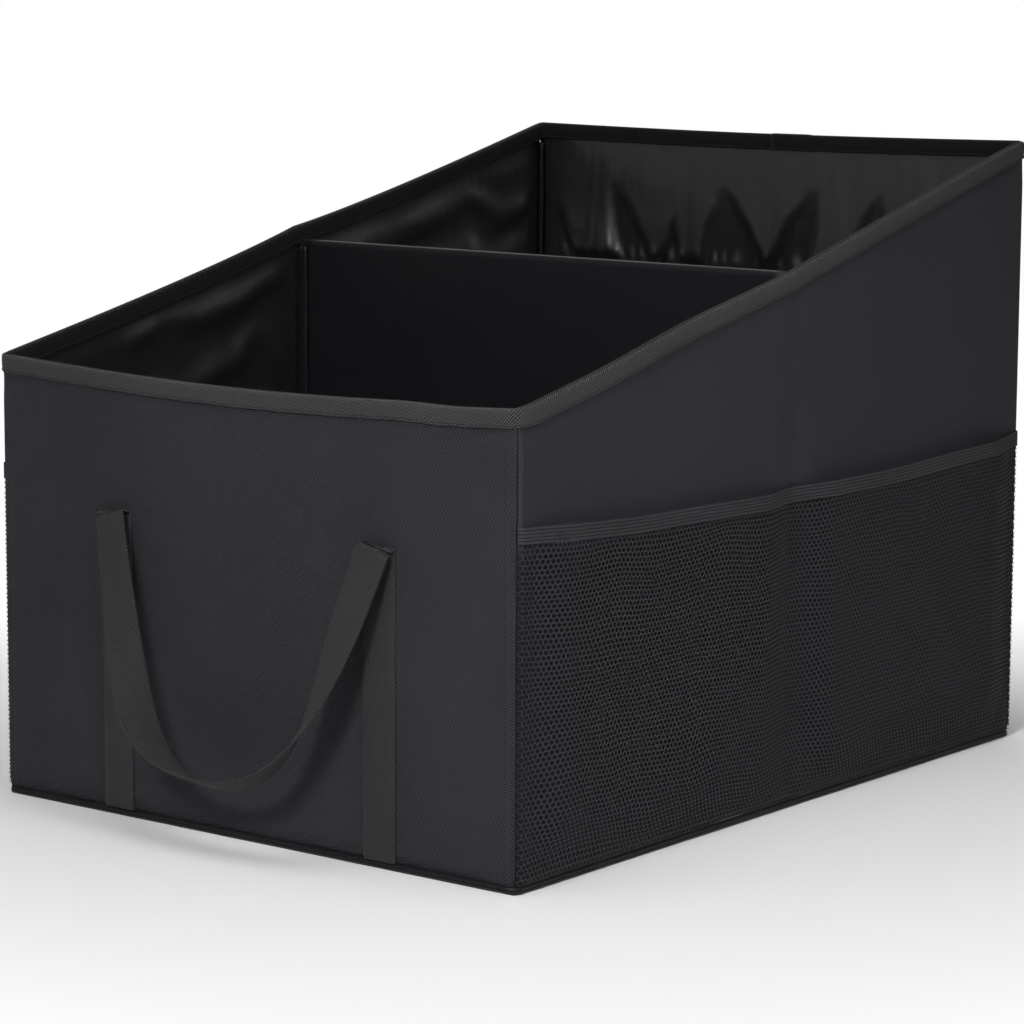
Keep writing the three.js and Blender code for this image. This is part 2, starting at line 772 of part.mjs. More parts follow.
function webbingRing(station) {
  const across = station.along.clone().cross(station.face).normalize();
  const corner = (side, level) => station.at.clone()
    .addScaledVector(across, (side * WEBBING_WIDTH) / 2)
    .addScaledVector(station.face, (level * WEBBING_THICKNESS) / 2);
  return [corner(-1, -1), corner(1, -1), corner(1, 1), corner(-1, 1)];
}

function handleGeometry() {
  const half = [...handleStrip(), ...handleArm(HANDLE_ARM_SPANS)];
  const rest = half.slice(0, -1).map(mirroredStation).reverse();
  const rings = [...half, ...rest].map(webbingRing);
  return loft(rings);
}

// The side pockets: a net under a band of elastic, sewn down at its ends, foot and middle

function pocketReach() {
  return HALF_DEPTH - CORNER_RADIUS;
}

// How far the pocket stands off the wall: two shallow bellies with a seam between them and
// a seam along the foot
function pocketBelly(y, z) {
  const fromSeam = Math.min(Math.abs(y), pocketReach() - Math.abs(y));
  const fromFoot = z - WALL_BOTTOM;
  const sideRise = THREE.MathUtils.smoothstep(fromSeam, 0, NET_RISE);
  return NET_BELLY * sideRise * THREE.MathUtils.smoothstep(fromFoot, 0, NET_FOOT_RISE);
}

function pocketTop(y) {
  const share = y / pocketReach();
  return POCKET_HEIGHT - POCKET_SAG * (1 - share * share);
}

function netTop(y) {
  return pocketTop(y) - ELASTIC_WIDTH - LAYER_GAP;
}

// A six-sided outline, from its front corner round by the foot. It lies flat: along the wall
// in X and up it in Y.
function sixCorners(centre, halfAlong, halfUp) {
  const flat = halfAlong * MESH_FLAT_SHARE;
  const offsets = [
    [-halfAlong, 0], [-flat, -halfUp], [flat, -halfUp],
    [halfAlong, 0], [flat, halfUp], [-flat, halfUp],
  ];
  return offsets.map(([along, up]) => new THREE.Vector2(centre.x + along, centre.y + up));
}

// The faces between two rows of points
function between(row, partners) {
  return row.slice(1).map((point, place) => {
    return [row[place], point, partners[place + 1], partners[place]];
  });
}

// The net's meshes stand in columns, every other one half a mesh higher
function netMeshes() {
  const start = -pocketReach() + NET_EDGE;
  const halfMesh = -start / (1 + ((NET_COLUMNS - 1) * (1 + MESH_FLAT_SHARE)) / 2);
  const columnStep = halfMesh * (1 + MESH_FLAT_SHARE);
  const height = (netTop(0) - WALL_BOTTOM - 2 * NET_EDGE) / (NET_ROWS + 0.5);
  const outer = [halfMesh, height / 2];
  const inner = outer.map((half) => half - NET_STRAND / 2);
  return evenly(0, NET_COLUMNS - 1, NET_COLUMNS - 1).map((column) => {
    const lift = column % 2 === 0 ? 0.5 : 1;
    return evenly(0, NET_ROWS - 1, NET_ROWS - 1).map((row) => {
      const up = WALL_BOTTOM + NET_EDGE + (row + lift) * height;
      const centre = new THREE.Vector2(start + halfMesh + column * columnStep, up);
      return { outline: sixCorners(centre, ...outer), hole: sixCorners(centre, ...inner) };
    });
  });
}

function strandFaces(mesh) {
  const round = (corners) => [...corners, corners[0]];
  return between(round(mesh.outline), round(mesh.hole));
}

// The edges that fill up from the outer meshes to the net's straight sides
function netEdgeFaces(columns) {
  const reach = pocketReach();
  const ends = (row) => {
    const first = new THREE.Vector2(-reach, row[0].y);
    const last = new THREE.Vector2(reach, row[row.length - 1].y);
    return [first, ...row, last];
  };
  const foot = ends(columns.flatMap((meshes) => meshes[0].outline.slice(1, 3)));
  const head = ends(columns.flatMap((meshes) => {
    const { outline } = meshes[meshes.length - 1];
    return [outline[5], outline[4]];
  }));
  const front = columns[0].flatMap(({ outline }) => [outline[1], outline[0], outline[5]]);
  const rear = columns[columns.length - 1].flatMap(({ outline }) => outline.slice(2, 5));
  return [
    ...between(foot, foot.map((point) => new THREE.Vector2(point.x, WALL_BOTTOM))),
    ...between(head, head.map((point) => new THREE.Vector2(point.x, netTop(point.x)))),
    ...between(front, front.map((point) => new THREE.Vector2(-reach, point.y))),
    ...between(rear, rear.map((point) => new THREE.Vector2(reach, point.y))),
  ];
}

function turnedOneWay(face) {
  return THREE.ShapeUtils.area(face) > 0 ? face : [...face].reverse();
}

// Numbers the corners of flat faces, so that faces that meet share them
function numbered(faces) {
  const corners = [];
  const known = new Map();
  const numbers = faces.map((face) => turnedOneWay(face).map((point) => {
    const key = `${point.x.toFixed(3)} ${point.y.toFixed(3)}`;
    if (!known.has(key)) {
      known.set(key, corners.length);
      corners.push(point);
    }
    return known.get(key);
  }));
  return { corners, numbers };
}

// The edges that only one face has, as the walls of a thickened sheet stand on
function openEdges(numbers) {
  const edges = numbers.flatMap((face) => face.map((corner, place) => {
    return [corner, face[(place + 1) % face.length]];
  }));
  const taken = new Set(edges.map((edge) => edge.join()));
  return edges.filter(([from, to]) => from !== to && !taken.has([to, from].join()));
}

// Stands flat faces up against the right wall, bellies them out and gives them a thickness
function thickened(faces, thickness) {
  const { corners, numbers } = numbered(faces);
  const skin = (out) => corners.map((point) => {
    const near = HALF_WIDTH + POCKET_EDGE_GAP + pocketBelly(point.x, point.y);
    return new THREE.Vector3(near + out, point.x, point.y);
  });
  const count = corners.length;
  const solidFaces = numbers.flatMap(([a, b, c, d]) => [
    [a, c, b], [a, d, c],
    [a + count, b + count, c + count], [a + count, c + count, d + count],
  ]);
  for (const [from, to] of openEdges(numbers)) {
    solidFaces.push([from, to, to + count], [from, to + count, from + count]);
  }
  const real = solidFaces.filter((face) => new Set(face).size === 3);
  return solidFrom([...skin(0), ...skin(thickness)], real);
}

function netGeometry() {
  const columns = netMeshes();
  const faces = [...columns.flat().flatMap(strandFaces), ...netEdgeFaces(columns)];
  return thickened(faces, NET_THICKNESS);
}

function elasticGeometry() {
  const rings = evenly(-pocketReach(), pocketReach(), ELASTIC_SPANS).map((y) => {
    const near = HALF_WIDTH + POCKET_EDGE_GAP + pocketBelly(y, POCKET_HEIGHT);
    const top = pocketTop(y);
    return [
      new THREE.Vector3(near, y, top - ELASTIC_WIDTH),
      new THREE.Vector3(near + ELASTIC_THICKNESS, y, top - ELASTIC_WIDTH),
      new THREE.Vector3(near + ELASTIC_THICKNESS, y, top),
      new THREE.Vector3(near, y, top),
    ];
  });
  return loft(rings);
}

// The whole organizer

const organizer = new THREE.Group();

function outerCloth() {
  const group = new THREE.Group();
  const side = sidePanelGeometry();
  group.add(endPanel("front_panel", false), endPanel("back_panel", true));
  group.add(named("right_panel", side, sideClothMaterial));
  group.add(named("left_panel", mirroredInX(side), sideClothMaterial));
  group.add(basePanel(), baseWelt());
  return group;
}

function wallBoards() {
  const group = new THREE.Group();
  const far = HALF_DEPTH - BOARD_SIDE_MARGIN;
  const near = FOLD_GAP / 2;
  group.add(endBoard("front_board", FRONT_HEIGHT, -1), endBoard("back_board", BACK_HEIGHT, 1));
  for (const [side, signX] of [["left", -1], ["right", 1]]) {
    group.add(sideBoard(`${side}_front_board`, signX, -far, -near));
    group.add(sideBoard(`${side}_rear_board`, signX, near, far));
  }
  return group;
}

function wallLinings() {
  const group = new THREE.Group();
  const far = HALF_DEPTH - CORNER_RADIUS;
  const near = SEAM_TAPE_THICKNESS / 2 + SEAM_GAP;
  group.add(frontLining(), backLining());
  const front = sideLiningGeometry(-far, -near, 0);
  const rear = sideLiningGeometry(near, far, 0.5);
  group.add(named("right_front_lining", front, liningMaterial));
  group.add(named("right_rear_lining", rear, liningMaterial));
  group.add(named("left_front_lining", mirroredInX(front), liningMaterial));
  group.add(named("left_rear_lining", mirroredInX(rear), liningMaterial));
  return group;
}

function seams() {
  const group = new THREE.Group();
  group.add(rimBinding(), foldTape("left_fold_tape", -1), foldTape("right_fold_tape", 1));
  for (const [end, signY] of [["front", -1], ["back", 1]]) {
    group.add(cornerTape(`${end}_left_corner_tape`, -1, signY));
    group.add(cornerTape(`${end}_right_corner_tape`, 1, signY));
  }
  return group;
}

function inserts() {
  const group = new THREE.Group();
  group.add(floorCover(), floorBoard("floor_board_front", -1), floorBoard("floor_board_rear", 1));
  group.add(dividerCover(), dividerBoard());
  return group;
}

function handles() {
  const group = new THREE.Group();
  const front = named("front_handle", handleGeometry(), webbingMaterial);
  const back = named("back_handle", front.geometry, webbingMaterial);
  back.rotation.z = Math.PI;
  group.add(front, back);
  return group;
}

function pockets() {
  const group = new THREE.Group();
  const net = netGeometry();
  const elastic = elasticGeometry();
  group.add(named("right_net", net, netMaterial));
  group.add(named("left_net", mirroredInX(net), netMaterial));
  group.add(named("right_elastic", elastic, tapeMaterial));
  group.add(named("left_elastic", mirroredInX(elastic), tapeMaterial));
  return group;
}

organizer.add(outerCloth(), wallBoards(), wallLinings(), seams(), inserts(), handles(), pockets());

export default organizer;
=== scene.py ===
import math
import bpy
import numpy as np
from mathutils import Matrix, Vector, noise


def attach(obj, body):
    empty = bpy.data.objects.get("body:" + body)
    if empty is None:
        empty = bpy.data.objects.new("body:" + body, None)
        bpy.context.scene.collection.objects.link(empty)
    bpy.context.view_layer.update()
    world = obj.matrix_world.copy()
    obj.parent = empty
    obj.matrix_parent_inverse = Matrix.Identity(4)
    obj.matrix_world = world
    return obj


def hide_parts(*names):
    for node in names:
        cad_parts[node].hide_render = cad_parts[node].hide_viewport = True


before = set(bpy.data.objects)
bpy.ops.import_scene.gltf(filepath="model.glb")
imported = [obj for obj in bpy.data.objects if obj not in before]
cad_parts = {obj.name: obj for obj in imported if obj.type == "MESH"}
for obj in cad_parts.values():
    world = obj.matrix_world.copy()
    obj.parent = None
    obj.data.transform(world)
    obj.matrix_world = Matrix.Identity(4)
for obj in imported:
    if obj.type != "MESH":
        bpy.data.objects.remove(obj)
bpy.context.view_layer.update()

# %% [markdown]
# # A boarded cloth organizer for a car trunk
# The organizer is an open box of black cloth over stiff boards: a low front wall, a high back
# wall, a shiny lining, a divider, net pockets on its sides and a webbing handle on each end.
# The boards come from the part's own solids. Every piece of cloth is made here as a thin sheet
# that lies where its plain solid lies, because cloth shows its folds, its seams and its weave.

print("nodes", len(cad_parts))

# %% [markdown]
# ## The sizes
# All of the cloth hangs on one plan and one rim, so they come first. The plan is a rectangle
# with small round corners. The rim rises from front to back and sags a little between the
# corners. The right wall also sinks where it folds in the middle, the left one peaks there, and
# the front right corner hangs a few millimetres lower.

# %% Sizes in metres
WIDTH, DEPTH = 0.430, 0.578
FRONT_HEIGHT, BACK_HEIGHT = 0.294, 0.427
CORNER_RADIUS, INNER_RADIUS = 0.004, 0.0008
CLOTH, LINING, BOARD, GAP = 0.001, 0.0008, 0.003, 0.0003
WALL_FOOT, FLOOR_TOP = 0.0051, 0.0065
RIM_DROP = 0.0011
WALL = CLOTH + GAP + BOARD + GAP + LINING
HALF_W, HALF_D = WIDTH / 2, DEPTH / 2
FLAT_X, FLAT_Y = HALF_W - CORNER_RADIUS, HALF_D - CORNER_RADIUS
SEAM = 0.0004


def smooth_step(value, low, high):
    t = np.clip((value - low) / (high - low), 0, 1)
    return t * t * (3 - 2 * t)


def corner_dip(x, y):
    """The rim hangs lower at the front right corner and for a hand's breadth along the side."""
    along, across = y + HALF_D, HALF_W - x
    beyond = 1 - smooth_step(along, 0.07, 0.19)
    drop = (0.0022 + 0.0020 * smooth_step(along, 0, 0.015)) * beyond
    return drop * (1 - smooth_step(across, 0.04, 0.10))


def rim_height(x, y):
    along = np.clip(y / DEPTH + 0.5, 0, 1)
    straight = FRONT_HEIGHT + (BACK_HEIGHT - FRONT_HEIGHT) * along
    end_sag = 0.007 + (0.002 - 0.007) * along
    across = np.clip(x / WIDTH, -0.5, 0.5)
    side_sag = 0.004 + 0.003 * np.clip(x / HALF_W, -1, 1)
    fold = np.clip(1 - np.abs(y + 0.006) / HALF_D, 0, 1) ** 1.25
    lifted = 0.0026 * np.exp(-np.abs(y) / 0.045) - 0.0015 * np.sin(np.pi * np.abs(y) / HALF_D)
    on_left = np.clip(-x / HALF_W, 0, 1) ** 8
    sag = straight - end_sag * np.cos(np.pi * across) - side_sag * fold
    return sag + lifted * on_left - corner_dip(x, y)


print("rim heights", rim_height(0.215, -0.289), rim_height(0.215, 0.0), rim_height(0, 0.289))

# %% [markdown]
# ## Paths round the plan
# A tailor measures cloth along its edge, so each wall sheet gets a path: points on the plan,
# the direction that points out of the box there, and the length of cloth up to each point.

# %% Path helpers


def corner_points(sign_x, sign_y, start, end, steps=8):
    angles = np.linspace(start, end, steps + 1)
    normals = np.stack([np.cos(angles), np.sin(angles)], 1)
    centre = np.array([sign_x * FLAT_X, sign_y * FLAT_Y])
    return centre + normals * CORNER_RADIUS, normals


def straight_points(start, end, normal, step=0.006):
    start, end = np.array(start, float), np.array(end, float)
    spans = max(1, int(round(np.linalg.norm(end - start) / step)))
    share = np.linspace(0, 1, spans + 1)[:, None]
    return start + (end - start) * share, np.tile(np.array(normal, float), (spans + 1, 1))


def join_path(parts):
    points = np.concatenate([p for p, _ in parts])
    normals = np.concatenate([n for _, n in parts])
    gaps = np.linalg.norm(np.diff(points, axis=0), axis=1)
    keep = np.concatenate([[True], gaps > 1e-6])
    points, normals = points[keep], normals[keep]
    length = np.concatenate([[0], np.cumsum(np.linalg.norm(np.diff(points, axis=0), axis=1))])
    return {"points": points, "normals": normals, "length": length}


def on_path(path, s):
    def pick(values):
        return np.interp(s, path["length"], values)
    x, y = pick(path["points"][:, 0]), pick(path["points"][:, 1])
    nx, ny = pick(path["normals"][:, 0]), pick(path["normals"][:, 1])
    size = np.hypot(nx, ny)
    return x, y, nx / size, ny / size


def inset(x, y, nx, ny, out):
    """A place moved out of the box, or into it; an inner corner keeps a small radius."""
    room_x = HALF_W + out - INNER_RADIUS * (1 - np.abs(nx))
    room_y = HALF_D + out - INNER_RADIUS * (1 - np.abs(ny))
    return np.clip(x + nx * out, -room_x, room_x), np.clip(y + ny * out, -room_y, room_y)


def seam_to_seam(start, stop, normal):
    """A wall's path between the seams in the middle of its two corner roundings."""
    facing = math.atan2(normal[1], normal[0])
    turn = math.pi / 4 - SEAM / CORNER_RADIUS / 2
    return join_path([
        corner_points(*np.sign(start), facing - turn, facing),
        straight_points(start, stop, normal),
        corner_points(*np.sign(stop), facing, facing + turn),
    ])


def end_wall_path(sign):
    """The front wall has sign -1 and the back wall 1."""
    across, out = sign * FLAT_X, sign * HALF_D
    return seam_to_seam((across, out), (-across, out), (0, sign))


def side_wall_path(sign):
    """The right wall has sign 1 and the left wall -1."""
    along, out = sign * FLAT_Y, sign * HALF_W
    return seam_to_seam((out, -along), (out, along), (sign, 0))


def side_path(sign, start, end):
    y = (start, end) if sign > 0 else (end, start)
    return join_path([straight_points((sign * HALF_W, y[0]), (sign * HALF_W, y[1]), (sign, 0))])


def whole_path():
    """Once round the box, from the back wall's middle over the left side."""
    turn = math.pi / 2
    return join_path([
        straight_points((0.005, HALF_D), (-FLAT_X, HALF_D), (0, 1)),
        corner_points(-1, 1, turn, 2 * turn),
        straight_points((-HALF_W, FLAT_Y), (-HALF_W, -FLAT_Y), (-1, 0)),
        corner_points(-1, -1, 2 * turn, 3 * turn),
        straight_points((-FLAT_X, -HALF_D), (FLAT_X, -HALF_D), (0, -1)),
        corner_points(1, -1, -turn, 0),
        straight_points((HALF_W, -FLAT_Y), (HALF_W, FLAT_Y), (1, 0)),
        corner_points(1, 1, 0, turn),
        straight_points((FLAT_X, HALF_D), (0.005, HALF_D), (0, 1)),
    ])


print("front cloth is", round(end_wall_path(-1)["length"][-1], 4), "m along its edge")

# %% [markdown]
# ## A sheet of cloth
# Cloth starts as a flat grid. Its columns follow the path and its rows climb the wall, and a
# modifier then gives it its thickness. The grid's own map is kept in metres of cloth, so a
# weave laid on that map follows every fold at its true size.

# %% Sheet helpers


def only(piece):
    bpy.ops.object.select_all(action="DESELECT")
    piece.select_set(True)
    bpy.context.view_layer.objects.active = piece


def ripple(a, b, scale, seed, octaves=2):
    """Smooth unevenness, about -1 to 1, that is the same each time."""
    out = np.empty(len(a))
    for i, (p, q) in enumerate(zip(a, b)):
        spot = Vector((p / scale, q / scale, seed * 7.31))
        out[i] = noise.fractal(spot, 1.0, 2.0, octaves)
    return out


def places(mesh):
    flat = np.empty(len(mesh.vertices) * 3)
    mesh.vertices.foreach_get("co", flat)
    return flat.reshape(-1, 3)


def cloth_grid(name, columns, rows, size, place, thickness, offset=-1.0, crowd=None):
    bpy.ops.object.select_all(action="DESELECT")
    bpy.ops.mesh.primitive_grid_add(x_subdivisions=columns, y_subdivisions=rows, size=1, calc_uvs=True)
    sheet = bpy.context.object
    sheet.name = sheet.data.name = name
    mesh = sheet.data
    flat = places(mesh)
    u, v = flat[:, 0] + 0.5, flat[:, 1] + 0.5
    if crowd:
        u, v = crowd(u, v)
    mesh.vertices.foreach_set("co", np.stack(place(u, v), 1).ravel())
    corner = np.empty(len(mesh.loops), dtype=np.int32)
    mesh.loops.foreach_get("vertex_index", corner)
    cut = np.stack([u[corner] * size[0], v[corner] * size[1]], 1)
    mesh.uv_layers.active.data.foreach_set("uv", cut.ravel())
    mesh.update()
    only(sheet)
    if thickness:
        solid = sheet.modifiers.new("Thickness", "SOLIDIFY")
        solid.thickness, solid.offset = thickness, offset
        solid.use_even_offset = False
        bpy.ops.object.modifier_apply(modifier=solid.name)
    bpy.ops.object.shade_smooth()
    return sheet


def wall_sheet(name, path, columns, rows, foot, drop, thickness, push, facing_in=False, crowd=None):
    length = path["length"][-1]

    def place(u, v):
        s = (1 - u if facing_in else u) * length
        x, y, nx, ny = on_path(path, s)
        top = rim_height(x, y) - drop
        z = foot + (top - foot) * v
        x, y = inset(x, y, nx, ny, push(s, z, top, length))
        return x, y, z
    height = BACK_HEIGHT if "back" in name else (FRONT_HEIGHT + BACK_HEIGHT) / 2
    return cloth_grid(name, columns, rows, (length, height), place, thickness, crowd=crowd)


def crowd_to_seams(u, v):
    """Moves the grid's columns closer together at the two seams, where the cloth bends most."""
    return u - 0.8 * np.sin(2 * np.pi * u) / (2 * np.pi), v


def under_rim(below):
    """0 where the rim's tape holds the cloth, 1 from a little below it."""
    return smooth_step(below, 0.006, 0.03)


def foot_tuck(z):
    """The cloth draws in at its foot, where it goes into the welt."""
    return -0.0012 * (1 - smooth_step(z, 0.005, 0.011))


def corner_ridge(edge):
    """Near a corner the seam inside pushes the cloth out; it dips beside the roll and at the seam."""
    roll = -0.0004 * np.exp(-((edge - 0.0062) / 0.0015) ** 2)
    return 0.0010 * np.exp(-(edge / 0.03) ** 2) + roll - 0.0022 * (1 - smooth_step(edge, 0.0, 0.0026))


def finish_cloth(piece, material, node):
    piece.data.materials.clear()
    piece.data.materials.append(material)
    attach(piece, "root")
    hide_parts(node)
    print(piece.name, len(piece.data.polygons), "faces")


print("sheet helpers ready")

# %% [markdown]
# ## Shared effects for the materials
# A weave is a height that changes from yarn to yarn, and wear is a slow change over a hand's
# breadth. Both are node groups, so that each cloth can take them at its own scale. A group only
# gives heights and masks; each material's own shader turns them into colour and bump.

# %% Node helpers


def new_group(name, outputs, **numbers):
    """A group that takes a vector and some numbers and gives heights or masks."""
    group = bpy.data.node_groups.new(name, "ShaderNodeTree")
    group.interface.new_socket("Vector", in_out="INPUT", socket_type="NodeSocketVector")
    for label, value in numbers.items():
        label = label.replace("_", " ")
        socket = group.interface.new_socket(label, in_out="INPUT", socket_type="NodeSocketFloat")
        socket.default_value = value
    for label in outputs:
        group.interface.new_socket(label, in_out="OUTPUT", socket_type="NodeSocketFloat")
    source, sink = group.nodes.new("NodeGroupInput"), group.nodes.new("NodeGroupOutput")
    return group, source.outputs, sink.inputs


def feed(tree, socket, value):
    if isinstance(value, bpy.types.NodeSocket):
        tree.links.new(value, socket)
    else:
        socket.default_value = value


def set_inputs(tree, node, **values):
    for label, value in values.items():
        feed(tree, node.inputs[label.replace("_", " ")], value)
    return node


def add_node(tree, kind, **values):
    return set_inputs(tree, tree.nodes.new(kind), **values)


def maths(tree, operation, *values, clamp=False):
    node = tree.nodes.new("ShaderNodeMath")
    node.operation, node.use_clamp = operation, clamp
    for socket, value in zip(node.inputs, values):
        feed(tree, socket, value)
    return node.outputs[0]


def wave_of(tree, phase):
    """0 to 1, once for each whole step of the phase."""
    turned = maths(tree, "MULTIPLY", phase, 2 * math.pi)
    return maths(tree, "MULTIPLY_ADD", maths(tree, "SINE", turned), 0.5, 0.5)


def split_vector(tree, vector):
    node = add_node(tree, "ShaderNodeSeparateXYZ", Vector=vector)
    return node.outputs["X"], node.outputs["Y"]


def noise_of(tree, vector, scale, detail, distortion=0.0):
    node = add_node(tree, "ShaderNodeTexNoise", Vector=vector, Scale=scale, Detail=detail,
                    Distortion=distortion)
    return node.outputs["Fac"]


def seen_by_camera(tree, lit, seen, end, share=1.0):
    """Every ray meets the first shader, but the camera meets a share of the second."""
    ray = tree.nodes.new("ShaderNodeLightPath").outputs["Is Camera Ray"]
    blend = tree.nodes.new("ShaderNodeMixShader")
    feed(tree, blend.inputs["Fac"], maths(tree, "MULTIPLY", share, ray))
    tree.links.new(lit.outputs[0], blend.inputs[1])
    tree.links.new(seen.outputs[0], blend.inputs[2])
    tree.links.new(blend.outputs[0], tree.nodes[end].inputs["Surface"])


print("node helpers ready")

# %% [markdown]
# ### Twill
# The front cloth is a twill: each yarn passes over several others, one place further each row,
# so fine ribs climb across the cloth. The ribs are a wave across the slanted direction, cut into
# short floats by a second wave. The binding tape is woven the same way, with a steeper slope.

# %% Twill group


def twill_group():
    tree, source, sink = new_group("Twill weave", ["Height"], Rib_pitch=0.002, Slope=0.82)
    x, y = split_vector(tree, source["Vector"])
    climb = maths(tree, "MULTIPLY", x, source["Slope"])
    across = maths(tree, "SUBTRACT", y, climb)
    rib = wave_of(tree, maths(tree, "DIVIDE", across, source["Rib pitch"]))
    along = maths(tree, "MULTIPLY_ADD", y, source["Slope"], x)
    yarn_pitch = maths(tree, "MULTIPLY", source["Rib pitch"], 1.37)
    yarn = wave_of(tree, maths(tree, "DIVIDE", along, yarn_pitch))
    height = maths(tree, "MULTIPLY", rib, maths(tree, "MULTIPLY_ADD", yarn, 0.3, 0.7))
    tree.links.new(height, sink["Height"])
    return tree


twill = twill_group()
print("made", twill.name)

# %% [markdown]
# ### Plain weave and ribs
# The side cloth, the lining and the webbing are plain weaves: over one yarn, under the next. Two
# crossed waves multiplied together give that chequer of raised yarns. The elastic has short ribs
# across it in lanes along its length, with a groove between two lanes.

# %% Plain weave and rib groups


def chequer_wave(tree, along, pitch):
    turned = maths(tree, "MULTIPLY", maths(tree, "DIVIDE", along, pitch), math.pi)
    return maths(tree, "SINE", turned)


def plain_group():
    tree, source, sink = new_group(
        "Plain weave", ["Height"], Warp_pitch=0.001, Weft_pitch=0.001)
    x, y = split_vector(tree, source["Vector"])
    warp = chequer_wave(tree, x, source["Warp pitch"])
    weft = chequer_wave(tree, y, source["Weft pitch"])
    height = maths(tree, "MULTIPLY_ADD", maths(tree, "MULTIPLY", warp, weft), 0.5, 0.5)
    tree.links.new(height, sink["Height"])
    return tree


def rib_group():
    tree, source, sink = new_group("Ribs in lanes", ["Height"], Pitch=0.001, Band=0.0021)
    x, y = split_vector(tree, source["Vector"])
    zigzag = maths(tree, "PINGPONG", y, source["Band"])
    rib = wave_of(tree, maths(tree, "DIVIDE", x, source["Pitch"]))
    lane = maths(tree, "DIVIDE", zigzag, source["Band"])
    edge = maths(tree, "MULTIPLY", lane, maths(tree, "SUBTRACT", 1.0, lane))
    lane_mask = maths(tree, "MULTIPLY", edge, 6.0, clamp=True)
    raised = maths(tree, "MULTIPLY_ADD", rib, 0.4, 0.6)
    tree.links.new(maths(tree, "MULTIPLY", raised, lane_mask), sink["Height"])
    return tree


plain = plain_group()
ribs = rib_group()
print("made", plain.name, "and", ribs.name)

# %% [markdown]
# ### Handling marks
# Black cloth is never one black. Dye takes unevenly, hands polish it and lint settles on it. One
# group gives a slow cloudiness and a sparse scatter of lint. A second group marks the stitches
# of a sewn row, as dashes at one place across a tape.

# %% Handling and stitch groups


def handling_group():
    tree, source, sink = new_group(
        "Handling marks", ["Cloud", "Lint"], Cloud_scale=9.0, Lint_scale=900.0)
    cloud = noise_of(tree, source["Vector"], source["Cloud scale"], 3.0)
    tree.links.new(cloud, sink["Cloud"])
    lint = noise_of(tree, source["Vector"], source["Lint scale"], 1.0)
    speck = maths(tree, "SUBTRACT", lint, 0.66)
    tree.links.new(maths(tree, "MULTIPLY", speck, 9.0, clamp=True), sink["Lint"])
    return tree


def stitch_group():
    tree, source, sink = new_group(
        "Stitch row", ["Mask"], Place=0.002, Half_width=0.0004, Length=0.0028)
    x, y = split_vector(tree, source["Vector"])
    off = maths(tree, "ABSOLUTE", maths(tree, "SUBTRACT", y, source["Place"]))
    share = maths(tree, "DIVIDE", off, source["Half width"])
    across = maths(tree, "SUBTRACT", 1.0, share, clamp=True)
    step = maths(tree, "FRACT", maths(tree, "DIVIDE", x, source["Length"]))
    dash = maths(tree, "LESS_THAN", step, 0.78)
    tree.links.new(maths(tree, "MULTIPLY", across, dash), sink["Mask"])
    return tree


handling = handling_group()
stitches = stitch_group()
print("made", handling.name, "and", stitches.name)

# %% [markdown]
# ## The cloths
# Every cloth is built the same way: the weave's height drives a bump and a small change from
# yarn to gap, the handling marks change colour and roughness, and a sheen on the shader gives
# the soft edge light of brushed yarn. What differs is the weave, its scale and its shine. A thin
# cloth also gets a crinkle, which is a second bump below the weave's.

# %% Material builder


def use_group(tree, group, **values):
    node = tree.nodes.new("ShaderNodeGroup")
    node.node_tree = group
    return set_inputs(tree, node, **values)


def mixed(tree, factor, low, high):
    node = tree.nodes.new("ShaderNodeMix")
    node.data_type = "RGBA"
    feed(tree, node.inputs["Factor"], factor)
    feed(tree, node.inputs["A"], low)
    feed(tree, node.inputs["B"], high)
    return node.outputs["Result"]


def grey(value, blue=1.0, red=1.0):
    return (value * red, value, value * blue, 1.0)


def cloth_material(name, weave, dark, light, bump, depth, roughness=0.8, sheen=0.02,
                   specular=0.15, coat=0.0, crinkle=0.0, coords="UV", marks=1.0, rows=()):
    material = bpy.data.materials.new(name)
    material.use_nodes = True
    tree = material.node_tree
    shader = tree.nodes["Principled BSDF"]
    where = tree.nodes.new("ShaderNodeTexCoord")
    height = weave(tree, where.outputs[coords])
    wear = use_group(tree, handling, Vector=where.outputs["Object"])
    base = mixed(tree, height, dark, light)
    clouded = mixed(tree, maths(tree, "MULTIPLY", wear.outputs["Cloud"], 0.35 * marks), base, dark)
    lint = maths(tree, "MULTIPLY", wear.outputs["Lint"], 0.12 * marks)
    colour = mixed(tree, lint, clouded, grey(0.16))
    for place in rows:
        row = use_group(tree, stitches, Vector=where.outputs[coords], Place=place).outputs["Mask"]
        colour = mixed(tree, maths(tree, "MULTIPLY", row, 0.9), colour, grey(0.002))
        height = maths(tree, "MULTIPLY_ADD", row, -0.8, height)
    normal = {}
    if crinkle:
        creases = noise_of(tree, where.outputs["Object"], 32.0, 3.0, distortion=0.8)
        crease = add_node(tree, "ShaderNodeBump", Strength=1.0, Distance=crinkle, Height=creases)
        normal = {"Normal": crease.outputs["Normal"]}
    relief = add_node(tree, "ShaderNodeBump", Strength=bump, Distance=depth, Height=height, **normal)
    rough = maths(tree, "MULTIPLY_ADD", wear.outputs["Cloud"], 0.16, roughness - 0.08)
    set_inputs(tree, shader, Base_Color=colour, Roughness=rough, Normal=relief.outputs["Normal"],
               Sheen_Weight=sheen, Sheen_Roughness=0.45, Specular_IOR_Level=specular,
               Coat_Weight=coat, Coat_Roughness=0.24)
    return material


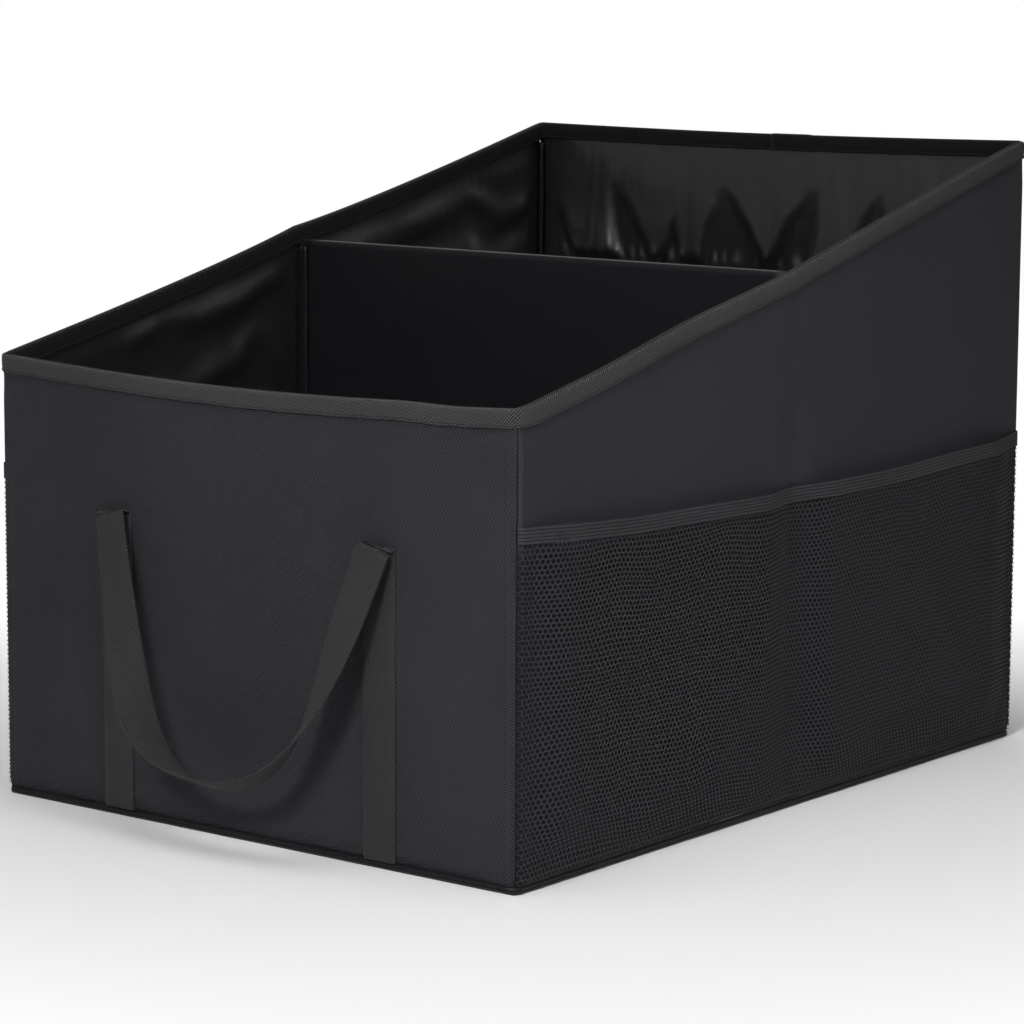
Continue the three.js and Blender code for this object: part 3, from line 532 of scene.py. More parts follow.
def paint_shade_along(material, coords, axis, low, high, share):
    """Paints shade into a material's colour: darker from one level to another along an axis of its map."""
    tree = material.node_tree
    shader = tree.nodes["Principled BSDF"]
    colour = shader.inputs["Base Color"].links[0].from_socket
    where = next(node for node in tree.nodes if node.type == "TEX_COORD")
    parts = add_node(tree, "ShaderNodeSeparateXYZ", Vector=where.outputs[coords])
    ramp = add_node(tree, "ShaderNodeMapRange", Value=parts.outputs[axis],
                    From_Min=low, From_Max=high, To_Min=0.0, To_Max=share)
    shade = mixed(tree, ramp.outputs["Result"], colour, grey(0.003))
    tree.links.new(shade, shader.inputs["Base Color"])


def height_of(group, **values):
    """A weave for cloth_material: one of the groups with its pitches in metres."""
    def weave(tree, vector):
        return use_group(tree, group, Vector=vector, **values).outputs["Height"]
    return weave


def plain_height(warp, weft):
    return height_of(plain, Warp_pitch=warp, Weft_pitch=weft)


front_cloth = cloth_material(
    "Charcoal twill", height_of(twill, Rib_pitch=0.0020, Slope=0.82),
    grey(0.001, 1.2), grey(0.118, 1.2), bump=1.0, depth=0.0009)
side_cloth = cloth_material(
    "Charcoal side cloth", plain_height(0.0009, 0.0009),
    grey(0.018, 1.2), grey(0.053, 1.2), bump=0.7, depth=0.0004)
lining_cloth = cloth_material(
    "Shiny lining", plain_height(0.0004, 0.0004),
    grey(0.006), grey(0.012, 1.03), bump=0.2, depth=0.0001,
    roughness=0.31, specular=0.9, coat=0.6, crinkle=0.0006)
divider_cloth = cloth_material(
    "Divider cloth", plain_height(0.0005, 0.0005),
    grey(0.004, 1.3), grey(0.0085, 1.3), bump=0.2, depth=0.0001,
    roughness=0.45, specular=0.25, crinkle=0.0004)
binding_tape = cloth_material(
    "Binding tape", height_of(twill, Rib_pitch=0.0022, Slope=1.1),
    grey(0.003), grey(0.142, 1.03), bump=0.9, depth=0.0006, sheen=0.03, rows=(0.0014, 0.0275))
webbing_weave = cloth_material(
    "Webbing", plain_height(0.0009, 0.0012),
    grey(0.002), grey(0.069), bump=0.8, depth=0.0006, roughness=0.75, sheen=0.03, specular=0.2)
elastic_weave = cloth_material(
    "Ribbed elastic", height_of(ribs, Pitch=0.0010, Band=0.0021),
    grey(0.003), grey(0.062, 1.12), bump=0.8, depth=0.0005, sheen=0.03)
net_yarn = cloth_material(
    "Net yarn", plain_height(0.0006, 0.0006),
    grey(0.024, 1.15), grey(0.058, 1.15), bump=0.3, depth=0.0002,
    roughness=0.75, sheen=0.05, coords="Object")
board_card = cloth_material(
    "Stiff board", plain_height(0.004, 0.011),
    grey(0.16, 0.62, 1.3), grey(0.20, 0.62, 1.3), bump=0.2, depth=0.0002,
    roughness=0.85, sheen=0.0, specular=0.4, coords="Object", marks=2.0)
# Painted shade: the rim tape is painted nearly black from the outer edge of its top, over the top and down
# its inner side.
paint_shade_along(binding_tape, "UV", "Y", 0.0125, 0.0140, 0.9)
# Painted shade: the side cloth is painted darker below the elastic, from 0.214 m down to 0.200 m in height,
# standing for the shade inside the net pockets.
paint_shade_along(side_cloth, "Object", "Z", 0.214, 0.200, 0.75)
print("cloths", len(bpy.data.materials))

# %% [markdown]
# ## The boards
# The boards are cut flat and stay hidden in the walls, the floor and the divider. Their solids
# already have the right outline, so they only get the look of pressed card.

# %% Dress the boards
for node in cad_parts:
    if "board" in node:
        bpy.data.objects[node].data.materials.clear()
        bpy.data.objects[node].data.materials.append(board_card)
print("boards dressed")

# %% [markdown]
# ## The end walls
# One cloth covers each end wall and turns into its two corners, where it meets the side cloths
# in a seam in the middle of the rounding. It is drawn tight over its board, so it is flat apart
# from a slow unevenness, with a small roll beside each seam.

# %% Front and back cloth


def end_push(seed):
    def push(s, z, top, length):
        edge = np.minimum(s, length - s)
        below = top - z
        middle = smooth_step(edge, 0.01, 0.08) * smooth_step(z, 0.005, 0.05)
        slow = middle * smooth_step(below, 0.01, 0.05) * 0.0006 * ripple(s, z, 0.11, seed)
        return slow + corner_ridge(edge) * under_rim(below) + foot_tuck(z)
    return push


for end, sign in (("front", -1), ("back", 1)):
    path = end_wall_path(sign)
    cloth = wall_sheet(f"{end}_cloth", path, 160, 50, WALL_FOOT, RIM_DROP, CLOTH,
                       end_push(sign + 2), crowd=crowd_to_seams)
    finish_cloth(cloth, front_cloth, f"{end}_panel")

# %% [markdown]
# ## The side walls
# Each side cloth hangs from the rim between the two corner seams. The wall is made to fold
# inwards at its middle, so the cloth has a soft upright crease there and a few pulls that run
# down from the rim beside it.

# %% Side cloths


def side_push(seed):
    def push(s, z, top, length):
        y = s - length / 2
        crease = -0.0013 * np.exp(-(y / 0.006) ** 2)
        shoulder = 0.0009 * np.exp(-((np.abs(y) - 0.022) / 0.016) ** 2)
        below = top - z
        pulls = 0.0007 * np.sin(y * 95 + below * 40) * np.exp(-(y / 0.07) ** 2) * np.exp(-below / 0.07)
        slow = 0.0007 * ripple(s, z, 0.09, seed)
        edge = np.minimum(s, length - s)
        held = smooth_step(below, 0.008, 0.02) * smooth_step(edge, 0.004, 0.03)
        soft = (crease + shoulder + pulls + slow) * held
        return soft + corner_ridge(edge) * under_rim(below) + foot_tuck(z)
    return push


for side, sign in (("right", 1), ("left", -1)):
    path = side_wall_path(sign)
    cloth = wall_sheet(f"{side}_cloth", path, 190, 60, WALL_FOOT, RIM_DROP, CLOTH,
                       side_push(3 + sign), crowd=crowd_to_seams)
    finish_cloth(cloth, side_cloth,
                 f"{side}_panel")

# %% [markdown]
# ## The base and its welt
# The base is one cloth with round corners, sewn to the walls inside a rolled welt that runs
# round the foot. It carries the weight, so it lies flat on the ground.

# %% Base cloth
BASE_WIDTH, BASE_DEPTH = WIDTH - 0.008, DEPTH - 0.008
BASE_CORNER, BASE_TOP, BASE_THICKNESS = 0.006, 0.00095, 0.0009


def place_base(u, v):
    spot = np.stack([(u - 0.5) * BASE_WIDTH, (0.5 - v) * BASE_DEPTH])
    inner = np.sign(spot) * (np.array([[BASE_WIDTH], [BASE_DEPTH]]) / 2 - BASE_CORNER)
    past = (spot - inner) * (np.abs(spot) > np.abs(inner))
    reach = np.maximum(np.hypot(*past), 1e-9)
    rounded = inner + (spot - inner) * BASE_CORNER / reach
    x, y = np.where(reach > BASE_CORNER, rounded, spot)
    return x, y, np.full_like(x, BASE_TOP)


base = cloth_grid("base_cloth", 60, 80, (WIDTH, DEPTH), place_base, BASE_THICKNESS, 1.0)
finish_cloth(base, front_cloth, "base_panel")

# %% Welt
around = whole_path()
round_length = around["length"][-1]


def sweep(name, stands_on, section, grid, width, thickness):
    """A long strip round the box: u runs along the wall and v round the strip's section."""
    def place(u, v):
        x, y, nx, ny = on_path(around, u * round_length)
        out, up = section(u, v)
        height = stands_on(x, y)
        x, y = inset(x, y, nx, ny, out)
        return x, y, up + height
    return cloth_grid(name, grid[0], grid[1], (round_length, width), place, thickness)


def joined_ends(piece):
    """Sews a sheet shut where its own edges meet."""
    only(piece)
    bpy.ops.object.mode_set(mode="EDIT")
    bpy.ops.mesh.select_all(action="SELECT")
    bpy.ops.mesh.remove_doubles(threshold=0.00002)
    bpy.ops.mesh.normals_make_consistent(inside=False)
    bpy.ops.object.mode_set(mode="OBJECT")


def welt_section(u, v):
    angle = 0.05 + (2 * math.pi - 0.1) * v
    return -0.0017 + 0.0017 * np.cos(angle), 0.0025 - 0.0023 * np.sin(angle)


def on_ground(x, y):
    return 0 * x


welt = sweep("base_welt_roll", on_ground, welt_section, (360, 12), 0.0125, 0.0005)
finish_cloth(welt, divider_cloth, "base_welt")

# %% [markdown]
# ## The linings
# The lining is a thin shiny cloth, cut wider than the wall and gathered. On the back wall it
# bellies out above a gather line, with a ruffle along the line and pointed hollows where the
# cloth falls back to the wall. On the other walls it hangs in slow ripples, with fine puckers
# under the rim's tape and short pulls at the seams.

# %% Lining folds
LINING_BACK = CLOTH + GAP + BOARD + GAP
GATHER_LINE = 0.322


def held_at_seams(s, length):
    return smooth_step(np.minimum(s, length - s), 0.006, 0.03)


def pucker(s, below, seed):
    fine = np.sin(s * 560 + 3 * ripple(s, below * 0.2, 0.05, seed))
    return 0.0004 * fine * np.exp(-below / 0.022) * smooth_step(below, 0.009, 0.014)


def hollow(x, z, foot, lean, half_width, rise):
    """Where the cloth falls back to the wall: wide at the gather line, pointed above it."""
    up = z - GATHER_LINE
    half = half_width * (1 - np.clip(up / rise, 0, 1))
    off = np.abs(x - foot - lean * up)
    above = 1 - smooth_step(up, 0.8 * rise, 1.5 * rise)
    return smooth_step(half - off, -0.004, 0.006) * above * smooth_step(up, -0.02, -0.004)


def back_folds(s, z, top, length):
    below, x = top - z, length / 2 - s
    sway = x + 0.006 * ripple(s, z, 0.05, 4)
    back = hollow(sway, z, foot=-0.190, lean=-0.28, half_width=0.024, rise=0.072)
    back += hollow(sway, z, foot=-0.118, lean=-0.28, half_width=0.019, rise=0.078)
    back += hollow(sway, z, foot=-0.084, lean=0.05, half_width=0.012, rise=0.036)
    back += hollow(sway, z, foot=-0.026, lean=-0.22, half_width=0.030, rise=0.074)
    back += hollow(sway, z, foot=0.018, lean=0.42, half_width=0.020, rise=0.095)
    back += hollow(sway, z, foot=0.090, lean=0.25, half_width=0.024, rise=0.072)
    back += hollow(sway, z, foot=0.150, lean=-0.15, half_width=0.024, rise=0.080)
    lobe = 0.078 * (below - 0.010).clip(0, 0.085) * (1 + 0.12 * ripple(s, z, 0.06, 7))
    fallen = 0.035 * (z - GATHER_LINE).clip(0, 0.085)
    lower = 0.003 + 0.0014 * np.sin(s * 2 * math.pi / 0.037 + 3 * ripple(s, z * 0.3, 0.09, 9))
    upper = lobe + (np.minimum(lobe, fallen) - lobe) * back.clip(0, 1)
    depth = np.where(z > GATHER_LINE, upper, lower * smooth_step(z, 0.006, 0.06))
    tuck = 1 - 0.8 * np.exp(-((z - GATHER_LINE) / 0.006) ** 2)
    streaks = 0.0006 * ripple(s, 0.12 * z, 0.014, 8) * smooth_step(below, 0.010, 0.018)
    blobs = 0.5 + 0.5 * np.sin(s * 2 * math.pi / 0.0125 + 3.0 * ripple(s, z * 0.3, 0.025, 6))
    ruffle = 0.0024 * blobs ** 2 * np.exp(-((z - GATHER_LINE - 0.005) / 0.0065) ** 2)
    folds = (depth * tuck + streaks + ruffle).clip(0, 0.0068)
    return -(LINING_BACK + LINING) - folds * held_at_seams(s, length)


def ripple_folds(seed):
    def push(s, z, top, length):
        below = top - z
        level = z + 0.12 * (s - length / 2) + 0.022 * ripple(s, z, 0.07, seed)
        across = 0.5 + 0.5 * np.sin(level * 2 * math.pi / 0.050 + ripple(s, z, 0.2, seed + 1))
        slow = 0.5 + 0.5 * ripple(s, z, 0.05, seed + 2)
        at_seams = held_at_seams(s, length)
        held = at_seams * smooth_step(below, 0.012, 0.03) * smooth_step(z, 0.007, 0.03)
        tension = np.sin(z * 2 * math.pi / 0.012 + 2 * ripple(s, z, 0.04, seed + 4)).clip(0)
        edge = np.minimum(s, length - s)
        near_seam = np.exp(-edge / 0.02) * smooth_step(edge, 0.0, 0.006)
        depth = 0.0044 * across ** 1.5 * (0.4 + 0.6 * slow) + 0.0016 * slow
        pulls = 0.0007 * tension * near_seam * smooth_step(below, 0.012, 0.02)
        puckers = pucker(s, below, seed + 3).clip(0) * at_seams
        return -(LINING_BACK + LINING) - depth.clip(0) * held - pulls - puckers
    return push


print("lining lies", round(1000 * LINING_BACK, 2), "mm inside the wall's face")

# %% Lining sheets
LINING_FOOT, FULLNESS = 0.0014, 1.08


def lining_sheet(part, path, grid, push):
    sheet = wall_sheet(f"{part}_lining_cloth", path, grid[0], grid[1], LINING_FOOT,
                       RIM_DROP + 0.0003, LINING * 0.8, push, facing_in=True)
    heights = rim_height(*path["points"].T)
    finish_cloth(sheet, lining_cloth,
                 f"{part}_lining")


inner_x = HALF_W - 0.008
for end, sign, grid, folds in (
    ("front", -1, (100, 60), ripple_folds(20)),
    ("back", 1, (250, 130), back_folds),
):
    start, stop = (sign * inner_x, sign * HALF_D), (-sign * inner_x, sign * HALF_D)
    lining_sheet(end, join_path([straight_points(start, stop, (0, sign))]), grid, folds)
for side, sign in (("left", -1), ("right", 1)):
    for part, start, end, seed in (("front", -0.281, -0.0012, 30), ("rear", 0.0012, 0.281, 40)):
        folds = ripple_folds(seed + sign)
        lining_sheet(f"{side}_{part}", side_path(sign, start, end), (90, 84), folds)

# %% [markdown]
# ## The rim's binding
# A tape is folded over the top of each wall and sewn through, right round the rim. Its ends
# lap on the back wall. The sheet is as wide as the tape: it runs down the outside, over the top
# and down the inside, and the row of stitches near its lower edge draws it in a little.

# %% Binding tape
TAPE_MIDDLE = -0.0027
OUTER_HALF = [
    (0.0014, -0.0116), (0.0013, -0.0100), (0.0010, -0.0092), (0.0013, -0.0084),
    (0.0014, -0.0050), (0.0013, -0.0018), (0.0008, -0.0005), (-0.0004, 0.0),
]
INNER_HALF = [
    (-0.0050, 0.0), (-0.0061, -0.0005), (-0.0067, -0.0018), (-0.0068, -0.0050),
    (-0.0067, -0.0084), (-0.0064, -0.0092), (-0.0067, -0.0100), (-0.0068, -0.0116),
]
SECTION = np.array(OUTER_HALF + [(TAPE_MIDDLE, 0.0001)] + INNER_HALF)
TAPE_RUN = np.concatenate([[0], np.cumsum(np.linalg.norm(np.diff(SECTION, axis=0), axis=1))])
TAPE_WIDTH = float(TAPE_RUN[-1])


def along_section(v):
    share = TAPE_RUN / TAPE_WIDTH
    return np.interp(v, share, SECTION[:, 0]), np.interp(v, share, SECTION[:, 1])


def binding_section(u, v):
    out, up = along_section(v)
    wobble = 0.00025 * np.sin(u * 410) * np.sin(u * 87 + 1)
    lap = (u > 0.985) * 0.0004
    aside = np.sign(out - TAPE_MIDDLE) * lap
    return out + aside, up + wobble * (up < -0.008) + lap * (up > -0.004)


binding = sweep("rim_tape", rim_height, binding_section, (420, 34), TAPE_WIDTH, 0.0006)
finish_cloth(binding, binding_tape,
             "rim_binding")
print("tape is", round(1000 * TAPE_WIDTH, 1), "mm wide")

# %% [markdown]
# ## The seam tapes inside
# The side walls fold at a seam in their middle, and each inner corner is a seam too. The raw
# edges stand into the box and a narrow tape is folded over them.

# %% Seam tapes
TAPE_OUT = np.array([0.0002, 0.005, 0.0066, 0.007, 0.0066, 0.005, 0.0002])
TAPE_SIDE = np.array([-0.0008, -0.0007, -0.0005, 0.0, 0.0005, 0.0007, 0.0008])


def seam_tape(seam, x, y, angle):
    top = float(rim_height(x, y)) - 0.0135
    low = FLOOR_TOP + GAP
    turn = Matrix.Rotation(angle, 2)

    def place(u, v):
        run = np.linspace(0, 1, len(TAPE_OUT))
        a, b = np.interp(v, run, TAPE_OUT), np.interp(v, run, TAPE_SIDE)
        b = b + 0.00025 * np.sin(u * 37) * (a > 0.003)
        across, along = turn[0][0] * a + turn[0][1] * b, turn[1][0] * a + turn[1][1] * b
        return x + across, y + along, low + (top - low) * u
    tape = cloth_grid(f"{seam}_seam", 90, 12, (top - low, 0.0142), place, 0.00045)
    finish_cloth(tape, divider_cloth, f"{seam}_tape")


for side, sign in (("left", -1), ("right", 1)):
    inward = math.pi if sign > 0 else 0.0
    seam_tape(f"{side}_fold", sign * (HALF_W - WALL - GAP), 0.0, inward)
    for end, turn in (("front", -1), ("back", 1)):
        setback = WALL + 0.001
        x, y = sign * (HALF_W - setback), turn * (HALF_D - setback)
        seam_tape(f"{end}_{side}_corner", x, y, math.atan2(-turn, -sign))

# %% [markdown]
# ## The loose floor
# Two boards lie in one cover, sewn shut along its edge, with a soft hinge between them. The
# cover is pulled tight round the boards and dips at the hinge.

# %% Floor cover
FLOOR_WIDTH, FLOOR_DEPTH = 0.4092, 0.5572
FLOOR_MIDDLE, FLOOR_HALF, FLOOR_EDGE = 0.0039, 0.0024, 0.0017


def crowd_to_edges(u, v):
    """Moves the grid's lines closer together at the cover's edges, where it turns round a board."""
    turn = np.floor(v * 1.9999)
    return 0.5 - 0.5 * np.cos(np.pi * u), (turn + 0.5 - 0.5 * np.cos(np.pi * (2 * v - turn))) / 2


def place_floor(u, v):
    around_turn = v * 2
    lower = around_turn > 1
    y = np.where(lower, 1.5 - around_turn, around_turn - 0.5) * FLOOR_DEPTH
    x = (u - 0.5) * FLOOR_WIDTH
    edge = np.minimum(FLOOR_WIDTH / 2 - np.abs(x), FLOOR_DEPTH / 2 - np.abs(y))
    inside = np.clip(edge / FLOOR_EDGE, 0, 1)
    hinge = 1 - 0.8 * np.exp(-(y / 0.0015) ** 2)
    half = FLOOR_HALF * np.sqrt(1 - (1 - inside) ** 2) * hinge
    return x, y, np.where(lower, FLOOR_MIDDLE - half, FLOOR_MIDDLE + half)


floor = cloth_grid("floor_cloth", 60, 180, (0.409, 1.114), place_floor, 0, crowd=crowd_to_edges)
joined_ends(floor)
finish_cloth(floor, lining_cloth, "floor_cover")

# %% [markdown]
# ## The divider
# The divider is a board in a smooth cover that goes up its front, over its top edge and down its
# back. It is sewn to the fold seams at its sides, and a little slack shows between them.

# %% Divider cover
DIVIDER_WIDTH, DIVIDER_TOP = 0.4168, 0.353
DIVIDER_FRONT, DIVIDER_BACK = 0.0011, 0.0058


def place_divider(u, v):
    foot, radius = FLOOR_TOP + GAP, (DIVIDER_BACK - DIVIDER_FRONT) / 2
    turn = math.pi * (DIVIDER_BACK - DIVIDER_FRONT) / 2
    tall = DIVIDER_TOP - foot - radius
    s = v * (2 * tall + turn)
    x = (u - 0.5) * DIVIDER_WIDTH
    angle = np.clip((s - tall) / radius, 0, math.pi)
    y = (DIVIDER_FRONT + DIVIDER_BACK) / 2 - radius * np.cos(angle)
    z = foot + np.minimum(s, 2 * tall + turn - s).clip(0, tall) + radius * np.sin(angle)
    loose = smooth_step(DIVIDER_TOP - z, 0.004, 0.05)
    loose = loose * smooth_step(DIVIDER_WIDTH / 2 - np.abs(x), 0.0, 0.03)
    slack = 0.0005 * ripple(x, z, 0.12, 50) * loose
    return x, y - slack * np.cos(angle), z


divider = cloth_grid("divider_cloth", 40, 240, (DIVIDER_WIDTH, 0.69), place_divider, 0.0007)
finish_cloth(divider, divider_cloth,
             "divider_cover")

# %% [markdown]
# ## The handles
# One length of webbing makes a whole handle. It is sewn up the wall, folds over at the top of the
# seam, hangs as a loop and comes back the same way. Webbing is stiff across its width, so it
# can't bend sideways: it turns on its edge instead, and at the bottom of the loop it shows its
# outer face from above. The arms lean inward, so each fold turns with its arm. The strip follows
# stations that each have a place and a facing.

# %% Handle stations
WEBBING_WIDTH, WEBBING = 0.025, 0.0018
FOLD_HEIGHT, FOLD_RADIUS = 0.201, 0.0032
LOOP_LOW, LOOP_REACH = 0.043, 0.037
ARM_PULL, ARM_LEAN, LOOP_PULL, TWIST = 0.090, 0.028, 0.070, math.radians(112)
HANDLE_SPACING = 0.220


def strip_stations():
    y0 = -HALF_D - GAP - WEBBING / 2
    top = FOLD_HEIGHT - FOLD_RADIUS
    for z in np.linspace(WALL_FOOT, top, 24)[:-1]:
        yield Vector((-HANDLE_SPACING / 2, y0, z)), Vector((0, -1, 0)), Vector((0, 0, 1))
    crown = Vector((-HANDLE_SPACING / 2, y0 - FOLD_RADIUS, top))
    for angle in np.linspace(0, math.pi, 19):
        lean = float(smooth_step(angle, 0, math.pi)) * math.atan2(ARM_LEAN, ARM_PULL)
        turn = Matrix.Rotation(-lean, 3, "Y")
        face = Vector((0, -math.cos(angle), math.sin(angle)))
        along = Vector((0, -math.sin(angle), math.cos(angle)))
        spot = Vector((0, FOLD_RADIUS * math.cos(angle), FOLD_RADIUS * math.sin(angle)))
        yield crown + turn @ spot, turn @ face, turn @ along


def arm_stations(spans=60):
    fold = Vector((-HANDLE_SPACING / 2, FOLD_HEIGHT - FOLD_RADIUS))
    low = Vector((0, LOOP_LOW))
    knots = [fold, fold + Vector((ARM_LEAN, -ARM_PULL)), low + Vector((-LOOP_PULL, 0)), low]
    fold_y = HALF_D + GAP + WEBBING / 2 + 2 * FOLD_RADIUS
    low_y = HALF_D + LOOP_REACH
    for t in np.linspace(0, 1, spans + 1)[1:]:
        q = 1 - t
        flat = knots[0] * q ** 3 + knots[1] * 3 * q * q * t + knots[2] * 3 * q * t * t + knots[3] * t ** 3
        legs = [end - start for start, end in zip(knots, knots[1:])]
        slope = (legs[0] * 3 * q * q + legs[1] * 6 * q * t + legs[2] * 3 * t * t).normalized()
        forward = fold_y + (low_y - fold_y) * math.sin(math.pi / 2 * t)
        turn = TWIST * float(smooth_step(t, 0.0, 1.0))
        inward = Vector((-slope.y, 0, slope.x))
        face = -(Vector((0, -1, 0)) * math.cos(turn) + inward * math.sin(turn))
        yield Vector((flat.x, -forward, flat.y)), face, Vector((slope.x, 0, slope.y))


def mirrored(station):
    p, f, a = station
    return Vector((-p.x, p.y, p.z)), Vector((-f.x, f.y, f.z)), Vector((a.x, -a.y, -a.z))


def whole_handle():
    half = list(strip_stations()) + list(arm_stations())
    return half + [mirrored(station) for station in half[-2::-1]]


stations = whole_handle()
run = [0.0]
for (p, _, _), (q, _, _) in zip(stations, stations[1:]):
    run.append(run[-1] + (q - p).length)
print("webbing is", round(run[-1], 3), "m long")

# %% Handle strips


def handle_strip(name, sign, node):
    share = np.array(run) / run[-1]
    centre = np.array([p for p, _, _ in stations])
    across = np.array([a.cross(f).normalized() for _, f, a in stations])
    face = np.array([f for _, f, _ in stations])

    def place(u, v):
        def at(values):
            return np.stack([np.interp(v, share, values[:, axis]) for axis in range(3)])
        rolled = -0.0003 * (np.abs(2 * u - 1) > 0.93)
        x, y, z = at(centre) + at(across) * (u - 0.5) * WEBBING_WIDTH + at(face) * rolled
        return (x, y, z) if sign < 0 else (-x, -y, z)
    size = (WEBBING_WIDTH, run[-1])
    strip = cloth_grid(name, 12, len(stations) * 2, size, place, WEBBING * 0.86, 0.0)
    finish_cloth(strip, webbing_weave, node)


handle_strip("front_webbing", -1, "front_handle")
handle_strip("back_webbing", 1, "back_handle")

# %% [markdown]
# ## The net pockets
# The net is knitted, with small upright holes in staggered columns. One mesh of the net is a
# six-sided ring: a circle with six corners, inset by half a strand, its middle deleted. Two
# arrays repeat it into a flat net, and the net is then laid over the pocket's two bellies.

# %% Pocket form
POCKET_TOP, POCKET_SAG, ELASTIC_WIDTH = 0.222, 0.008, 0.0105
NET_BELLY, NET_RISE, NET_FOOT_RISE = 0.0075, 0.045, 0.038
POCKET_PATH = side_wall_path(1)
POCKET_REACH = POCKET_PATH["length"][-1] / 2


def on_pocket(y, out):
    """A place on the right wall's pocket, measured along the cloth from the wall's middle."""
    x, y, nx, ny = on_path(POCKET_PATH, y + POCKET_REACH)
    return inset(x, y, nx, ny, out)


def pocket_belly(y, z):
    from_corner = POCKET_REACH - np.abs(y)
    from_seam = np.minimum(np.abs(y), from_corner)
    rise = smooth_step(from_seam, 0, NET_RISE)
    belly = NET_BELLY * rise * smooth_step(z - WALL_FOOT, 0, NET_FOOT_RISE)
    return np.maximum(belly, corner_ridge(from_corner) + 0.0004 * smooth_step(from_corner, 0.0, 0.004))


def pocket_top(y):
    return POCKET_TOP - POCKET_SAG * (1 - (y / POCKET_REACH) ** 2)


print("pocket hangs", 1000 * POCKET_SAG, "mm in the middle")

# %% One mesh of the net, repeated
MESH_ALONG, MESH_UP, STRAND = 0.0039, 0.0061, 0.0009


def flat_net(name, columns, rows):
    bpy.ops.object.select_all(action="DESELECT")
    bpy.ops.mesh.primitive_circle_add(vertices=6, radius=1, fill_type="NGON")
    net = bpy.context.object
    net.name = net.data.name = name
    for vertex in net.data.vertices:
        along, up = vertex.co.x * MESH_ALONG / math.sqrt(3), vertex.co.y * MESH_UP / 3
        vertex.co = (0, along, up)
    bpy.ops.object.mode_set(mode="EDIT")
    bpy.ops.mesh.select_mode(type="FACE")
    bpy.ops.mesh.select_all(action="SELECT")
    bpy.ops.mesh.inset(thickness=STRAND / 2, use_boundary=True)
    bpy.ops.mesh.delete(type="FACE")
    bpy.ops.mesh.select_all(action="SELECT")
    bpy.ops.mesh.duplicate()
    bpy.ops.transform.translate(value=(0, MESH_ALONG / 2, MESH_UP / 2))
    bpy.ops.object.mode_set(mode="OBJECT")
    for label, count, step in (("Up", rows, (0, 0, MESH_UP)), ("Along", columns, (0, MESH_ALONG, 0))):
        array = net.modifiers.new(label, "ARRAY")
        array.count, array.use_relative_offset, array.use_constant_offset = count, False, True
        array.constant_offset_displace = step
        bpy.ops.object.modifier_apply(modifier=array.name)
    bpy.ops.object.mode_set(mode="EDIT")
    bpy.ops.mesh.select_all(action="SELECT")
    bpy.ops.mesh.remove_doubles(threshold=0.0001)
    bpy.ops.object.mode_set(mode="OBJECT")
    return net


def lay_net(net, sign, seed):
    mesh = net.data
    flat = places(mesh)
    y0, z0 = flat[:, 1], flat[:, 2]
    share_y = (y0 - y0.min()) / (y0.max() - y0.min())
    share_z = (z0 - z0.min()) / (z0.max() - z0.min())
    y = (share_y - 0.5) * 2 * POCKET_REACH
    top = pocket_top(y) - 0.003
    z = WALL_FOOT + 0.0005 + (top - WALL_FOOT - 0.0005) * share_z
    drift = ripple(y, z, 0.07, seed)
    from_corner = POCKET_REACH - np.abs(y)
    loose = smooth_step(np.minimum(np.abs(y), from_corner), 0.0, 0.03)
    below = top - z
    pull = np.exp(-below / 0.05) * np.exp(-((from_corner - 0.04) / 0.06) ** 2)
    folds = 0.0012 * np.sin((y * 0.6 + z) * 140 + 3 * drift) * pull + 0.0004 * drift
    seat = 0.0006 + np.maximum(folds, -0.0004) * loose * smooth_step(z, 0.01, 0.03)
    out = pocket_belly(y, z) + seat
    shift = (0.0030 * drift + 0.0035 * pull * np.sin(y * 60 + z * 90)) * loose
    held = smooth_step(below, 0.0, 0.02) * smooth_step(z, 0.006, 0.02)
    z = z + 0.0030 * ripple(y, z, 0.06, seed + 1) * held
    x, y = on_pocket(np.clip(y + shift, -POCKET_REACH, POCKET_REACH), out)
    mesh.vertices.foreach_set("co", np.stack([sign * x, sign * y, z], 1).ravel())
    mesh.update()
    only(net)
    bpy.ops.object.shade_smooth()


for side, sign in (("right", 1), ("left", -1)):
    net = flat_net(f"{side}_net_cloth", 144, 34)
    lay_net(net, sign, 60 + sign)
    finish_cloth(net, net_yarn,
                 f"{side}_net")

# %% Elastic bands


def elastic_band(name, sign, node):
    def place(u, v):
        y = (u - 0.5) * 2 * POCKET_REACH
        lane = v * 5
        rib = 0.00022 * np.abs(np.sin(math.pi * lane))
        near = np.minimum(np.abs(y), POCKET_REACH - np.abs(y))
        notch = -0.0006 * np.exp(-(np.abs(y) / 0.0022) ** 2)
        ends = smooth_step(POCKET_REACH - np.abs(y), 0.0, 0.006)
        out = pocket_belly(y, POCKET_TOP) + 0.0009 + (0.0008 + rib + notch + 0.0002 * np.sin(y * 60)) * ends
        z = pocket_top(y) - ELASTIC_WIDTH * (1 - v) + 0.0003 * np.sin(y * 43) * smooth_step(near, 0, 0.03)
        x, y = on_pocket(y, out)
        return sign * x, sign * y, z
    band = cloth_grid(name, 200, 24, (2 * POCKET_REACH, ELASTIC_WIDTH), place, 0.0009)
    finish_cloth(band, elastic_weave, node)


elastic_band("right_band", 1, "right_elastic")
elastic_band("left_band", -1, "left_elastic")

# %% [markdown]
# ## Camera, light and floor
# The camera stands where the photograph was taken from, found by fitting a pinhole to the
# box's corners. The light is plain and soft: an even sky, a key and a fill with a narrow spread
# that both fade away from the nearest corner, a light from above and a weaker one from behind.
# The sky is white to the camera only. So is the nearly white floor away from the box, and near
# the box it keeps its shadow.

